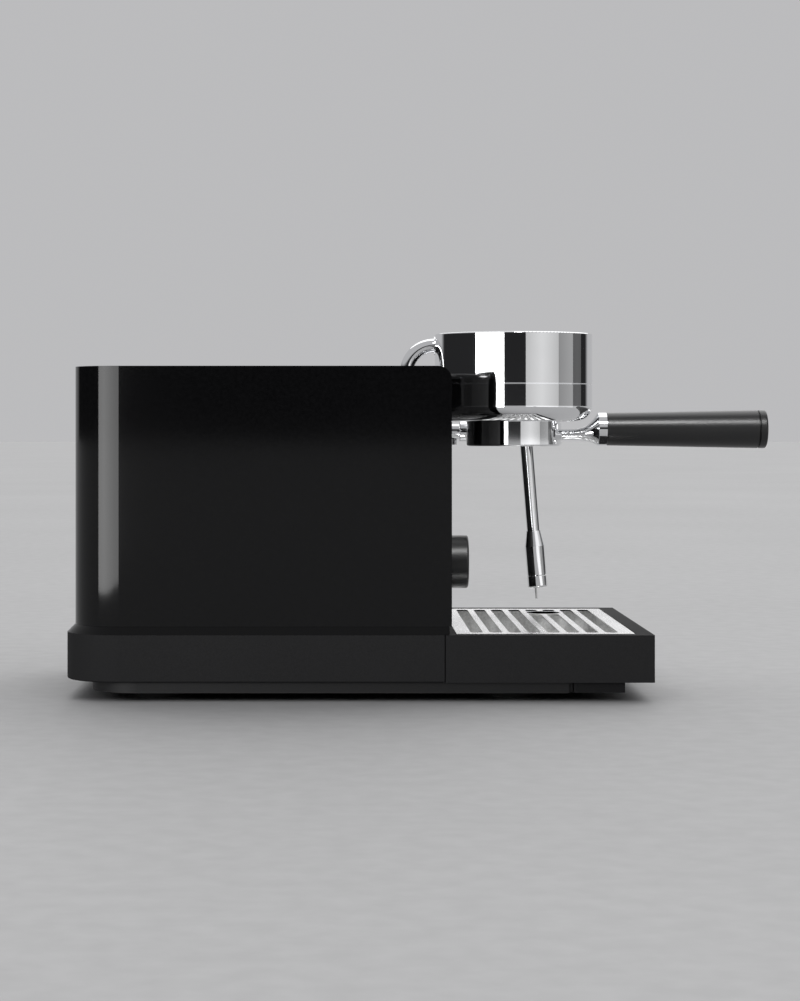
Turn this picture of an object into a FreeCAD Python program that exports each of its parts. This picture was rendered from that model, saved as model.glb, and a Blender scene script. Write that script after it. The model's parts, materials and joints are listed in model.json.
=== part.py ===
import FreeCAD, Part
import math
import os

# Bottomless-portafilter espresso machine with a bell-shaped group and a steam wand.
# Millimetres, +X to the front of the machine, +Y to the user's right, +Z up.
# Sizes are laid out from the group's vertical axis (X = 0, Y = 0) and from the counter (Z = 0).
# At the end every piece moves along X so that the origin is the bottom centre of the bounding box.

# Base, plinth and feet
MACHINE_WIDTH = 250.0
FOOT_HEIGHT = 5.4
FOOT_TOP_DIAMETER = 42.0
FOOT_SOLE_DIAMETER = 26.0
FOOT_RECESS_DIAMETER = 11.0
FOOT_RECESS_DEPTH = 2.5
FOOT_SIDE_INSET = 40.0
FOOT_REAR_INSET = 63.6
FOOT_FRONT_INSET = 36.0
PLINTH_HEIGHT = 7.75
PLINTH_SIDE_INSET = 6.0
PLINTH_REAR_INSET = 17.7
PLINTH_WALL = 2.5
PLINTH_RIB_PITCH = 46.0
TONGUE_REACH = 85.2
TRAY_STOP_THICKNESS = 2.6
RAIL_SPACING = 120.0
RAIL_WIDTH = 6.0
RAIL_HEIGHT = 3.0
BASE_HEIGHT = 32.25
BASE_WALL = 3.0
BASE_EDGE_ROUND = 1.2
BASE_SETBACK = 5.2
PLATEAU_RISE = 5.4
PLATEAU_OVERHANG = 3.5
PLATEAU_EDGE_ROUND = 0.7

# Casing: a U-shaped wrap of sheet around a folded fascia and a chassis
CASE_LENGTH = 260.5
CASE_HEIGHT = 178.1
CASE_INSET = 5.5
CASE_WALL = 2.0
CASE_CORNER_RADIUS = 33.0
CASE_TOP_CORNER_RADIUS = 9.5
FASCIA_RECESS = 12.6
FASCIA_SHEET = 2.0
FASCIA_BEND = 4.0
DECK_DROP = 3.0
DECK_LENGTH = 97.0
CHASSIS_SHEET = 1.5
BULKHEAD_INSET = 2.0
SCREW_SHANK_DIAMETER = 3.0
SCREW_HEAD_DIAMETER = 8.0
SCREW_HEAD_HEIGHT = 2.4
SCREW_BITE = 15.0
SCREW_REAR_INSET = 42.0
SCREW_FRONT_INSET = 30.0
SCREW_SIDE_INSET = 28.0
SCREW_BOSS_DIAMETER = 11.0

# Group bell
BELL_RISE = 26.3
BELL_UPPER_HEIGHT = 36.9
BELL_LOWER_HEIGHT = 27.0
BELL_RADIUS = 57.7
BELL_ROUND = 11.0
BELL_STANDOFF = 5.5
BELL_WALL = 2.5
BELL_EDGE_ROUND = 0.8
SEAM_CHAMFER = 0.5
BAYONET_LIP = 4.0
LIP_FLAT = 2.0
NECK_WIDTH = 46.0
NECK_HEIGHT = 15.0
NECK_FLANGE_MARGIN = 6.0
NECK_FLANGE_THICKNESS = 3.0
NECK_TOP_GAP = 2.0
BACKING_PLATE_THICKNESS = 4.0
GROUP_BOLT_DIAMETER = 4.0
GROUP_BOLT_HEAD = 6.0
GASKET_HEIGHT = 7.0
GASKET_WIDTH = 5.6
SCREEN_THICKNESS = 1.5
SCREEN_DROP = 2.6
GROUP_FLOOR = 4.0
BOILER_RADIUS = 46.0
BOILER_HEADROOM = 3.5
BOILER_SHOULDER = 4.0
BOILER_WALL = 3.0
BOILER_RIM_GAP = 1.5
BOILER_PORT_REACH = 4.0
BOILER_PORT_WALL = 0.5
HEATER_BAND = 3.2
HEATER_HEIGHT = 16.0

# Portafilter
RING_RADIUS = 34.2
RING_WALL = 3.6
RING_SHOW = 17.9
RING_RISE = 12.3
RING_EDGE_ROUND = 1.2
LUG_LENGTH = 5.4
LUG_HEIGHT = 4.0
LUG_SPREAD = 34.0
LUG_ANGLES = (90.0, 270.0)
ENTRY_SPARE = 4.0
UNLOCK_ANGLE = 50.0
PAD_PROUD = 1.0
PAD_WIDTH = 40.0
PAD_MARGIN = 1.2
BASKET_WALL = 0.8
BASKET_RIM = 1.2
BASKET_DEPTH = 22.0
CLIP_WIRE = 1.2
CLIP_DEPTH = 4.8
CLIP_SWEEP = 335.0
BASKET_CORNER = 3.0
BASKET_PLAY = 0.3
HANDLE_DROP = 5.5
NECK_ROOT_DROP = 9.6
NECK_ROOT_HEIGHT = 7.7
NECK_ROOT_WIDTH = 13.0
# Share of the neck's reach, and how far it has swelled to the ferrule there
NECK_FLARE = ((0.25, 0.0), (0.55, 0.08), (0.72, 0.26), (0.87, 0.57), (1.0, 1.0))
FERRULE_GAP = 4.1
FERRULE_LENGTH = 6.6
FERRULE_WEB = 1.0
OVAL_POINTS = 16
GRIP_START_DIAMETER = 24.0
GRIP_END_DIAMETER = 27.9
GRIP_LENGTH = 111.2
CAP_LENGTH = 5.4
CAP_ROUND = 1.4
CAP_GROOVE = 0.6
HANDLE_ROD_DIAMETER = 8.0
HANDLE_ROD_LENGTH = 78.0

# Feed pipe between the deck and the bell
PIPE_DIAMETER = 10.1
PIPE_BORE = 7.0
PIPE_BEND = 20.2
PIPE_DROP = 8.2
PIPE_STANDOFF = 0.4
PIPE_RUN = 72.0
PIPE_COLLAR_DIAMETER = 13.0
PIPE_COLLAR_LENGTH = 2.2
GROMMET_DIAMETER = 15.0
GROMMET_LIP = 1.2

# Steam wand
WAND_CLEARANCE = 17.3
WAND_DROP = 7.3
STUB_DIAMETER = 11.5
STUB_LENGTH = 27.2
STUB_TAIL = 13.0
STUB_FLANGE_DIAMETER = 20.0
STUB_FLANGE_THICKNESS = 2.4
STUB_NUT_SPAN = 18.0
STUB_NUT_THICKNESS = 5.0
LOCK_SCREW_DIAMETER = 3.4
LOCK_SCREW_LENGTH = 4.3
LOCK_SCREW_INSET = 3.6
WAND_NUT_DIAMETER = 15.0
WAND_NUT_LENGTH = 13.0
WAND_NUT_ROUND = 2.0
WAND_ARM = 77.9
WAND_RAKE = 4.6
WAND_TUBE_DIAMETER = 10.0
WAND_BORE = 5.0
WAND_TAIL_DIAMETER = 7.6
WAND_TAIL_LENGTH = 16.0
WAND_BEND = 11.5
TIP_CLEARANCE = 19.3
TIP_LENGTH = 43.5
TIP_TAPER = 11.8
TIP_DIAMETER = 15.0
NOZZLE_LENGTH = 9.5
NOZZLE_ROUND = 1.6
NEEDLE_DIAMETER = 1.5
NEEDLE_LENGTH = 8.4
NEEDLE_OFFSET = 1.6

# Selector knob
KNOB_SIDE_OFFSET = 70.0
KNOB_RISE = 41.7
KNOB_DIAMETER = 37.2
KNOB_LENGTH = 25.4
KNOB_EDGE_ROUND = 1.6
KNOB_GAP = 0.7
KNOB_SKIRT_DEPTH = 8.0
KNOB_WALL = 3.0
POINTER_WIDTH = 1.6
POINTER_DEPTH = 0.8
POINTER_LENGTH = 9.0
SHAFT_DIAMETER = 6.0
SHAFT_GRIP = 13.0
SHAFT_TAIL = 20.0
SWITCH_DIAMETER = 30.0
SWITCH_DEPTH = 24.0
SWITCH_BUSH_DIAMETER = 10.0

# Drip tray, its liner and its slotted grid
TRAY_LENGTH = 143.1
TRAY_GAP = 0.5
TRAY_CORNER_ROUND = 1.2
TRAY_FLOOR = 6.0
RIM_SIDE = 12.0
RIM_FRONT = 12.0
RIM_REAR = 8.7
GRID_THICKNESS = 1.0
GRID_GAP = 0.5
GRID_LEDGE = 3.5
GRID_CORNER = 1.0
SLOT_COUNT = 8
SLOT_WIDTH = 8.7
SLOT_PITCH = 13.34
SLOT_MARGIN = 10.0
DRAIN_DIAMETER = 25.4
DRAIN_RIM = 2.6
DRAIN_SLEEVE = 2.0
DRAIN_LEAD = 4.1
TRAY_FOOT_GAP = 3.3
TRAY_FOOT_LENGTH = 35.0
TRAY_FOOT_LIFT = 0.3
PAN_WALL = 1.0
PAN_HEADROOM = 0.5
PAN_CORNER = 6.0

# Water tank and lid
TANK_SIDE_GAP = 12.0
TANK_REAR_GAP = 9.0
TANK_FRONT_GAP = 6.0
TANK_WALL = 2.5
TANK_CORNER = 22.0
TANK_HEADROOM = 17.0
TANK_SKIRT = 11.0
LID_THICKNESS = 5.0
LID_GAP = 0.6
LID_RIB = 2.0
LID_NOTCH_WIDTH = 26.0
LID_NOTCH_DEPTH = 8.0
OUTLET_DIAMETER = 14.0
SEAT_DIAMETER = 30.0
SEAT_SETBACK = 23.0
SEAT_PLAY = 1.2
SEAT_TAPER = 2.0
SEAT_FLOOR = 2.0
SEAT_RING_HEIGHT = 1.6
BARB_REACH = 1.0

# Water circuit and electrics inside the case
PUMP_SIDE_OFFSET = 35.0
PUMP_SETBACK = 55.0
PUMP_FRAME_WIDTH = 46.0
PUMP_FRAME_DEPTH = 40.0
PUMP_FRAME_HEIGHT = 44.0
PUMP_FRAME_ROUND = 3.0
PUMP_STAND = 28.0
PUMP_COIL_DIAMETER = 38.0
PUMP_BARREL_DIAMETER = 20.0
PUMP_BARREL_LENGTH = 26.0
PUMP_NOZZLE_LENGTH = 8.0
PUMP_SADDLE = 1.5
PUMP_MOUNT_DIAMETER = 13.0
PUMP_MOUNT_SPACING = 34.0
HOSE_DIAMETER = 8.0
HOSE_RISE = 5.5
HOSE_BEND = 12.0
HOSE_LOOP_RISE = 27.0
VALVE_WIDTH = 26.0
VALVE_HEIGHT = 28.0
VALVE_CORNER = 2.0
VALVE_COIL_DIAMETER = 22.0
VALVE_COIL_LENGTH = 24.0
STEAM_BLOCK_WIDTH = 60.0
STEAM_BLOCK_DEPTH = 32.0
STEAM_BLOCK_HEIGHT = 88.0
STEAM_BLOCK_STAND = 20.0
STEAM_TUBE_INSET = 40.0
STEAM_BLOCK_GAP = 7.0
STEAM_BLOCK_CORNER = 3.0
STEAM_FIN_COUNT = 7
STEAM_FIN_DEPTH = 4.0
STEAM_TUBE_DIAMETER = 6.0
STEAM_TUBE_SETBACK = 14.0
STEAM_TUBE_BEND = 10.0
BLOCK_LEG_DIAMETER = 8.0
BLOCK_LEG_INSET = 7.0
BOARD_WIDTH = 46.0
BOARD_HEIGHT = 80.0
BOARD_THICKNESS = 1.6
BOARD_SIDE_INSET = 6.0
BOARD_RISE = 70.0
RELAY_WIDTH = 14.0
RELAY_HEIGHT = 20.0
RELAY_DEPTH = 12.0
CAPACITOR_DIAMETER = 10.0
CAPACITOR_LENGTH = 14.0
TERMINAL_HEIGHT = 9.0
SPACER_DIAMETER = 6.0
SPACER_LENGTH = 5.0
SPACER_INSET = 5.0
INLET_SIDE_OFFSET = 55.0
INLET_WIDTH = 30.0
INLET_HEIGHT = 23.0
INLET_CORNER = 3.0
INLET_FLANGE = 1.5
INLET_BODY_MARGIN = 1.6
INLET_DEPTH = 24.0
INLET_SOCKET_DEPTH = 15.0
INLET_SOCKET_MARGIN = 3.2
PIN_WIDTH = 2.0
PIN_HEIGHT = 4.0
PIN_LENGTH = 12.0
PIN_PITCH = 7.0

# Clearances
SLIDE_GAP = 0.3
RUNNING_GAP = 0.06
SCREW_GAP = 0.1
SEAL_GAP = 0.4
CLOSE_GAP = 0.02

# Small broken edge on turned pieces, and how far a cutter runs past a face
EDGE_BREAK = 0.4
OVERCUT = 1.0

# Levels
HALF_WIDTH = MACHINE_WIDTH / 2
Z_PLINTH = FOOT_HEIGHT
Z_BASE = Z_PLINTH + PLINTH_HEIGHT
Z_RIM = Z_BASE + BASE_HEIGHT
Z_PLATEAU = Z_RIM + PLATEAU_RISE
Z_FLOOR = Z_PLATEAU + CHASSIS_SHEET
Z_CASE_TOP = Z_PLATEAU + CASE_HEIGHT
Z_DECK = Z_CASE_TOP - DECK_DROP
Z_BELL_TOP = Z_CASE_TOP + BELL_RISE
Z_SEAM = Z_BELL_TOP - BELL_UPPER_HEIGHT
Z_BELL = Z_SEAM - BELL_LOWER_HEIGHT
Z_RING = Z_BELL - RING_SHOW
Z_RING_TOP = Z_BELL + RING_RISE
Z_GASKET = Z_RING_TOP + BASKET_RIM + SEAL_GAP
Z_CEILING = Z_GASKET + GASKET_HEIGHT
Z_GROUP_FLOOR = Z_CEILING + GROUP_FLOOR
Z_LUG = Z_BELL + BAYONET_LIP + SLIDE_GAP
Z_FLANGE_TOP = Z_DECK - FASCIA_BEND - NECK_TOP_GAP
Z_NECK_TOP = Z_FLANGE_TOP - NECK_FLANGE_MARGIN
Z_NECK = Z_NECK_TOP - NECK_HEIGHT
Z_FLANGE = Z_NECK - NECK_FLANGE_MARGIN
Z_HANDLE = Z_BELL - HANDLE_DROP
Z_PIPE = Z_BELL_TOP - PIPE_DROP
Z_VALVE = Z_PIPE - PIPE_BEND - PIPE_RUN
Z_VALVE_PORT = Z_VALVE - VALVE_HEIGHT / 2
Z_WAND = Z_BELL - WAND_DROP
Z_KNOB = Z_PLATEAU + KNOB_RISE
Z_PUMP = Z_FLOOR + PUMP_STAND
Z_PUMP_TOP = Z_PUMP + PUMP_FRAME_HEIGHT + PUMP_BARREL_LENGTH + PUMP_NOZZLE_LENGTH
Z_BLOCK = Z_FLOOR + STEAM_BLOCK_STAND
Z_BLOCK_TOP = Z_BLOCK + STEAM_BLOCK_HEIGHT
Z_HOSE = Z_PLATEAU + HOSE_RISE
Z_TANK_TOP = Z_DECK - TANK_HEADROOM
Z_TANK_FLOOR = Z_PLATEAU + TANK_SKIRT

# Places along the machine
X_FASCIA = -(BELL_RADIUS + BELL_STANDOFF)
X_CASE_FRONT = X_FASCIA + FASCIA_RECESS
X_CASE_REAR = X_CASE_FRONT - CASE_LENGTH
X_BASE_FRONT = X_CASE_FRONT - BASE_SETBACK
X_BASE_REAR = X_CASE_REAR - CASE_INSET
X_PLINTH_REAR = X_BASE_REAR + PLINTH_REAR_INSET
X_TONGUE = X_BASE_FRONT + TONGUE_REACH
X_TRAY_FRONT = X_BASE_FRONT + TRAY_LENGTH
X_FASCIA_BACK = X_FASCIA - FASCIA_SHEET
X_DECK_REAR = X_FASCIA - DECK_LENGTH
X_BULKHEAD = X_DECK_REAR + BULKHEAD_INSET
X_BULKHEAD_FRONT = X_BULKHEAD + CHASSIS_SHEET
X_PIPE = -(BELL_RADIUS + PIPE_STANDOFF + PIPE_BEND)
X_BOILER_PORT = -BOILER_RADIUS - BOILER_PORT_REACH
X_FERRULE = BELL_RADIUS + FERRULE_GAP
X_GRIP = X_FERRULE + FERRULE_LENGTH
X_CAP = X_GRIP + GRIP_LENGTH
X_HANDLE_END = X_CAP + CAP_LENGTH
X_STUB = X_FASCIA + STUB_LENGTH
X_STUB_TAIL = X_FASCIA_BACK - STUB_TAIL
X_WAND = X_FASCIA + WAND_ARM
X_PUMP = X_FASCIA_BACK - PUMP_SETBACK
X_BLOCK_FRONT = X_FASCIA_BACK - STEAM_BLOCK_GAP
X_STEAM_TUBE = X_STUB_TAIL - STEAM_TUBE_SETBACK
X_TANK_FRONT = X_BULKHEAD - TANK_FRONT_GAP
X_TANK_REAR = X_CASE_REAR + CASE_WALL + TANK_REAR_GAP
X_SEAT = X_TANK_FRONT - SEAT_SETBACK
X_BARB = X_SEAT + SEAT_DIAMETER / 2 + BARB_REACH
X_GRID_REAR = X_BASE_FRONT + RIM_REAR
X_GRID_FRONT = X_TRAY_FRONT - RIM_FRONT
X_ORIGIN = (X_HANDLE_END + X_BASE_REAR) / 2

# Places across the machine
CASE_HALF = HALF_WIDTH - CASE_INSET
CASE_INSIDE = CASE_HALF - CASE_WALL
PLINTH_HALF = HALF_WIDTH - PLINTH_SIDE_INSET
BASE_CORNER_RADIUS = CASE_CORNER_RADIUS + CASE_INSET
GRID_HALF = HALF_WIDTH - RIM_SIDE
TANK_HALF = CASE_INSIDE - TANK_SIDE_GAP
Y_WAND = BELL_RADIUS + WAND_CLEARANCE
Y_KNOB = -KNOB_SIDE_OFFSET
Y_PUMP = -PUMP_SIDE_OFFSET
Y_BLOCK = Y_WAND - STEAM_TUBE_INSET

# Radii shared by pieces that fit together
RING_BORE = RING_RADIUS - RING_WALL
LUG_RADIUS = RING_RADIUS + LUG_LENGTH
CHANNEL_RADIUS = LUG_RADIUS + SLIDE_GAP
LIP_RADIUS = RING_RADIUS + SLIDE_GAP
POCKET_RADIUS = RING_RADIUS + SLIDE_GAP
GASKET_RADIUS = POCKET_RADIUS - CLOSE_GAP
SCREEN_RADIUS = GASKET_RADIUS - GASKET_WIDTH - SLIDE_GAP
PIPE_RADIUS = PIPE_DIAMETER / 2
STUB_RADIUS = STUB_DIAMETER / 2
TUBE_RADIUS = WAND_TUBE_DIAMETER / 2
TAIL_RADIUS = WAND_TAIL_DIAMETER / 2
SHAFT_RADIUS = SHAFT_DIAMETER / 2
BUSH_RADIUS = SWITCH_BUSH_DIAMETER / 2
HOSE_RADIUS = HOSE_DIAMETER / 2
STEAM_TUBE_RADIUS = STEAM_TUBE_DIAMETER / 2
ROD_RADIUS = HANDLE_ROD_DIAMETER / 2


# Shared operations
def point(x, y, z):
    return FreeCAD.Vector(x, y, z)


def box(x, y, z):
    """Block between two limits on each axis."""
    return Part.makeBox(x[1] - x[0], y[1] - y[0], z[1] - z[0], point(x[0], y[0], z[0]))


def rod(radius, start, end):
    """Round bar between two points."""
    return Part.makeCylinder(radius, (end - start).Length, start, end - start)


def ring(outer, inner, start, end):
    """Round bar with a bore."""
    return rod(outer, start, end).cut(rod(inner, start, end))


def joined(shapes):
    """One solid from touching or crossing shapes."""
    return shapes[0].fuse(shapes[1:]).removeSplitter()


def rounded(shape, radius, chosen):
    """Fillet on every edge that the test picks."""
    return shape.makeFillet(radius, [edge for edge in shape.Edges if chosen(edge)])


def along(direction):
    """Test that picks straight edges that run along a direction."""
    def test(edge):
        if edge.Curve.TypeId != "Part::GeomLine":
            return False
        return edge.Curve.Direction.cross(direction).Length < 1e-6
    return test


def at_level(z):
    """Test that picks edges that lie in a level plane."""
    def test(edge):
        return all(abs(corner.Z - z) < 1e-6 for corner in edge.Vertexes)
    return test


def outline(points, place):
    """Closed face through points; a pair of points is an arc through the first to the second."""
    edges = []
    last = points[0]
    for step in points[1:] + points[:1]:
        if isinstance(step[0], tuple):
            middle, end = step
            edges.append(Part.Arc(place(last), place(middle), place(end)).toShape())
        else:
            end = step
            if place(last).distanceToPoint(place(end)) > 1e-7:
                edges.append(Part.makeLine(place(last), place(end)))
        last = end
    return Part.Face(Part.Wire(edges))


def round_corner(start, centre, end):
    """Arc step from start to end about a centre, the short way round."""
    radius = math.dist(start, centre)
    middle = ((start[0] + end[0]) / 2 - centre[0], (start[1] + end[1]) / 2 - centre[1])
    stretch = radius / math.hypot(middle[0], middle[1])
    return ((centre[0] + middle[0] * stretch, centre[1] + middle[1] * stretch), end)


def lathe(points, turn=360.0):
    """Solid turned about the group's axis from (radius, height) points."""
    face = outline(points, lambda p: point(p[0], 0, p[1]))
    return face.revolve(point(0, 0, 0), point(0, 0, 1), turn)


def lathe_along_x(points, y, z):
    """Solid turned about a line along X from (place, radius) points."""
    face = outline(points, lambda p: point(p[0], y, z + p[1]))
    return face.revolve(point(0, y, z), point(1, 0, 0), 360.0)


def plan(half, rear, front, radius, z):
    """Wire in plan: square at the front, round corners at the rear."""
    points = [
        (front, -half),
        (front, half),
        (rear + radius, half),
        round_corner((rear + radius, half), (rear + radius, half - radius), (rear, half - radius)),
        (rear, radius - half),
        round_corner((rear, radius - half), (rear + radius, radius - half), (rear + radius, -half)),
    ]
    return outline(points, lambda p: point(p[0], p[1], z)).OuterWire


def slab(half, rear, front, radius, z):
    """Solid with a plan outline between two levels."""
    face = Part.Face(plan(half, rear, front, radius, z[0]))
    return face.extrude(point(0, 0, z[1] - z[0]))


def rounded_block(x, y, z, radius, direction):
    """Block with rounded edges along one direction."""
    return rounded(box(x, y, z), radius, along(direction))


def bent_path(corners, bend):
    """Wire of straight runs joined by tangent arcs."""
    edges = []
    start = corners[0]
    for before, corner, after in zip(corners, corners[1:], corners[2:]):
        arriving = (corner - before).normalize()
        leaving = (after - corner).normalize()
        turn = arriving.getAngle(leaving)
        cut_back = bend * math.tan(turn / 2)
        arc_start = corner - arriving * cut_back
        arc_end = corner + leaving * cut_back
        bisector = (leaving - arriving).normalize()
        arc_middle = corner + bisector * (bend / math.cos(turn / 2) - bend)
        edges.append(Part.makeLine(start, arc_start))
        edges.append(Part.Arc(arc_start, arc_middle, arc_end).toShape())
        start = arc_end
    edges.append(Part.makeLine(start, corners[-1]))
    return Part.Wire(edges)


def piped(radius, corners, bend):
    """Round bar along a bent path."""
    direction = corners[1] - corners[0]
    section = Part.Wire(Part.makeCircle(radius, corners[0], direction))
    return bent_path(corners, bend).makePipeShell([section], True, False)


def raked(shape):
    """Turn a piece made on the upright wand to the wand's forward rake."""
    return shape.rotated(point(X_WAND, Y_WAND, Z_WAND), point(0, 1, 0), -WAND_RAKE)


def both_sides(make, offset):
    """The same piece at both sides of the machine's middle."""
    return [make(-offset), make(offset)]


# Base, plinth and feet
def foot_places():
    rear = X_BASE_REAR + FOOT_REAR_INSET
    front = X_TONGUE - FOOT_FRONT_INSET
    side = HALF_WIDTH - FOOT_SIDE_INSET
    return [(x, y) for x in (rear, front) for y in (-side, side)]


def screw_places():
    rear = X_BASE_REAR + SCREW_REAR_INSET
    front = X_BASE_FRONT - SCREW_FRONT_INSET
    side = HALF_WIDTH - SCREW_SIDE_INSET
    return [(x, y) for x in (rear, front) for y in (-side, side)]


def inlet_block(margin, depth_from, depth_to):
    """Block in the mains inlet's outline, shrunk by a margin, between two depths in the rear wall."""
    z_middle = (Z_BASE + Z_RIM) / 2
    half_width = INLET_WIDTH / 2 - margin
    half_height = INLET_HEIGHT / 2 - margin
    return rounded_block(
        (X_BASE_REAR + depth_from, X_BASE_REAR + depth_to),
        (INLET_SIDE_OFFSET - half_width, INLET_SIDE_OFFSET + half_width),
        (z_middle - half_height, z_middle + half_height),
        INLET_CORNER - margin / 2,
        point(1, 0, 0),
    )


def base_housing():
    side = slab(HALF_WIDTH, X_BASE_REAR, X_BASE_FRONT, BASE_CORNER_RADIUS, (Z_BASE, Z_RIM))
    side = rounded(side, BASE_EDGE_ROUND, at_level(Z_BASE))
    front = X_BASE_FRONT + PLATEAU_OVERHANG
    foot = plan(HALF_WIDTH, X_BASE_REAR, front, BASE_CORNER_RADIUS, Z_RIM)
    top = plan(CASE_HALF, X_CASE_REAR, front, CASE_CORNER_RADIUS, Z_PLATEAU)
    plateau = Part.makeLoft([foot, top], True, True)
    plateau = rounded(plateau, PLATEAU_EDGE_ROUND, at_level(Z_PLATEAU))
    overhang_gap = box(
        (X_BASE_FRONT, front), (-HALF_WIDTH, HALF_WIDTH), (Z_RIM, Z_RIM + SLIDE_GAP)
    )
    cavity = slab(
        HALF_WIDTH - BASE_WALL,
        X_BASE_REAR + BASE_WALL,
        X_BASE_FRONT - BASE_WALL,
        BASE_CORNER_RADIUS - BASE_WALL,
        (Z_BASE, Z_RIM),
    )
    bosses = [
        rod(SCREW_BOSS_DIAMETER / 2, point(x, y, Z_BASE), point(x, y, Z_RIM))
        for x, y in screw_places()
    ]
    bore = SCREW_SHANK_DIAMETER / 2 + SCREW_GAP
    bores = [
        rod(bore, point(x, y, Z_BASE), point(x, y, Z_BASE + SCREW_BITE)) for x, y in screw_places()
    ]
    inlet_seat = inlet_block(-CLOSE_GAP, 0, INLET_FLANGE)
    inlet_hole = inlet_block(INLET_BODY_MARGIN - CLOSE_GAP, 0, BASE_WALL)
    shell = joined([side, plateau]).cut([overhang_gap, cavity])
    return joined([shell] + bosses).cut(bores + [inlet_seat, inlet_hole])


def base_plinth():
    radius = BASE_CORNER_RADIUS - PLINTH_SIDE_INSET
    outer = slab(PLINTH_HALF, X_PLINTH_REAR, X_TONGUE, radius, (Z_PLINTH, Z_BASE))
    skin_level = Z_BASE - PLINTH_WALL
    pocket = slab(
        PLINTH_HALF - PLINTH_WALL,
        X_PLINTH_REAR + PLINTH_WALL,
        X_TONGUE - PLINTH_WALL,
        radius - PLINTH_WALL,
        (Z_PLINTH, skin_level),
    )
    ribs = []
    for index in range(1, int((X_TONGUE - X_PLINTH_REAR) / PLINTH_RIB_PITCH) + 1):
        x = X_PLINTH_REAR + index * PLINTH_RIB_PITCH
        ribs.append(box((x, x + PLINTH_WALL), (-PLINTH_HALF, PLINTH_HALF), (Z_PLINTH, skin_level)))
    pads = [
        rod(FOOT_TOP_DIAMETER / 2, point(x, y, Z_PLINTH), point(x, y, skin_level))
        for x, y in foot_places()
    ]
    pads += [
        rod(SCREW_BOSS_DIAMETER / 2, point(x, y, Z_PLINTH), point(x, y, skin_level))
        for x, y in screw_places()
    ]
    tongue_top = Z_BASE - SLIDE_GAP
    lowered = box((X_BASE_FRONT, X_TONGUE), (-HALF_WIDTH, HALF_WIDTH), (tongue_top, Z_BASE))
    cuts = [pocket.cut(ribs + pads), lowered]
    for x, y in screw_places():
        head_top = point(x, y, Z_PLINTH + SCREW_HEAD_HEIGHT)
        cuts.append(rod(SCREW_HEAD_DIAMETER / 2 + SCREW_GAP, point(x, y, Z_PLINTH), head_top))
        cuts.append(rod(SCREW_SHANK_DIAMETER / 2 + SCREW_GAP, head_top, point(x, y, Z_BASE)))

    def rail(y):
        across = (y - RAIL_WIDTH / 2, y + RAIL_WIDTH / 2)
        x = (X_BASE_FRONT + TRAY_GAP, X_TONGUE)
        return box(x, across, (tongue_top, tongue_top + RAIL_HEIGHT))

    return joined([outer.cut(cuts)] + both_sides(rail, RAIL_SPACING / 2))


def plinth_screws():
    screws = []
    for x, y in screw_places():
        head_top = point(x, y, Z_PLINTH + SCREW_HEAD_HEIGHT)
        head = rod(SCREW_HEAD_DIAMETER / 2, point(x, y, Z_PLINTH + SCREW_GAP), head_top)
        tip = point(x, y, Z_BASE + SCREW_BITE - SLIDE_GAP)
        shank = rod(SCREW_SHANK_DIAMETER / 2, head_top, tip)
        screws.append(joined([head, shank]))
    return Part.makeCompound(screws)


def rubber_feet():
    sole = FOOT_SOLE_DIAMETER / 2
    hole = FOOT_RECESS_DIAMETER / 2
    bulge = ((sole + FOOT_TOP_DIAMETER / 2) / 2 + EDGE_BREAK, FOOT_HEIGHT / 2 - EDGE_BREAK)
    foot = lathe([
        (0, FOOT_RECESS_DEPTH),
        (hole, FOOT_RECESS_DEPTH),
        (hole, 0),
        (sole, 0),
        (bulge, (FOOT_TOP_DIAMETER / 2, FOOT_HEIGHT)),
        (0, FOOT_HEIGHT),
    ])
    return Part.makeCompound([foot.translated(point(x, y, 0)) for x, y in foot_places()])


def tray_stop():
    x = (X_TONGUE, X_TONGUE + TRAY_STOP_THICKNESS)
    y = (PLINTH_WALL - PLINTH_HALF, PLINTH_HALF - PLINTH_WALL)
    return box(x, y, (Z_PLINTH + SLIDE_GAP, Z_BASE - 2 * SLIDE_GAP))


# Casing
def casing_wrap():
    levels = (Z_PLATEAU, Z_CASE_TOP)
    outer = slab(CASE_HALF, X_CASE_REAR, X_CASE_FRONT, CASE_CORNER_RADIUS, levels)
    inner = slab(
        CASE_INSIDE,
        X_CASE_REAR + CASE_WALL,
        X_CASE_FRONT,
        CASE_CORNER_RADIUS - CASE_WALL,
        levels,
    )
    sheet = outer.cut(inner)

    def top_front(edge):
        ends = edge.Vertexes
        return all(
            abs(end.Z - Z_CASE_TOP) < 1e-6 and abs(end.X - X_CASE_FRONT) < 1e-6 for end in ends
        )

    return rounded(sheet, CASE_TOP_CORNER_RADIUS, top_front)


def group_bolt_places():
    half_width = NECK_WIDTH / 2 + NECK_FLANGE_MARGIN / 2
    low = Z_NECK - NECK_FLANGE_MARGIN / 2
    high = Z_NECK_TOP + NECK_FLANGE_MARGIN / 2
    return [(y, z) for y in (-half_width, half_width) for z in (low, high)]


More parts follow.
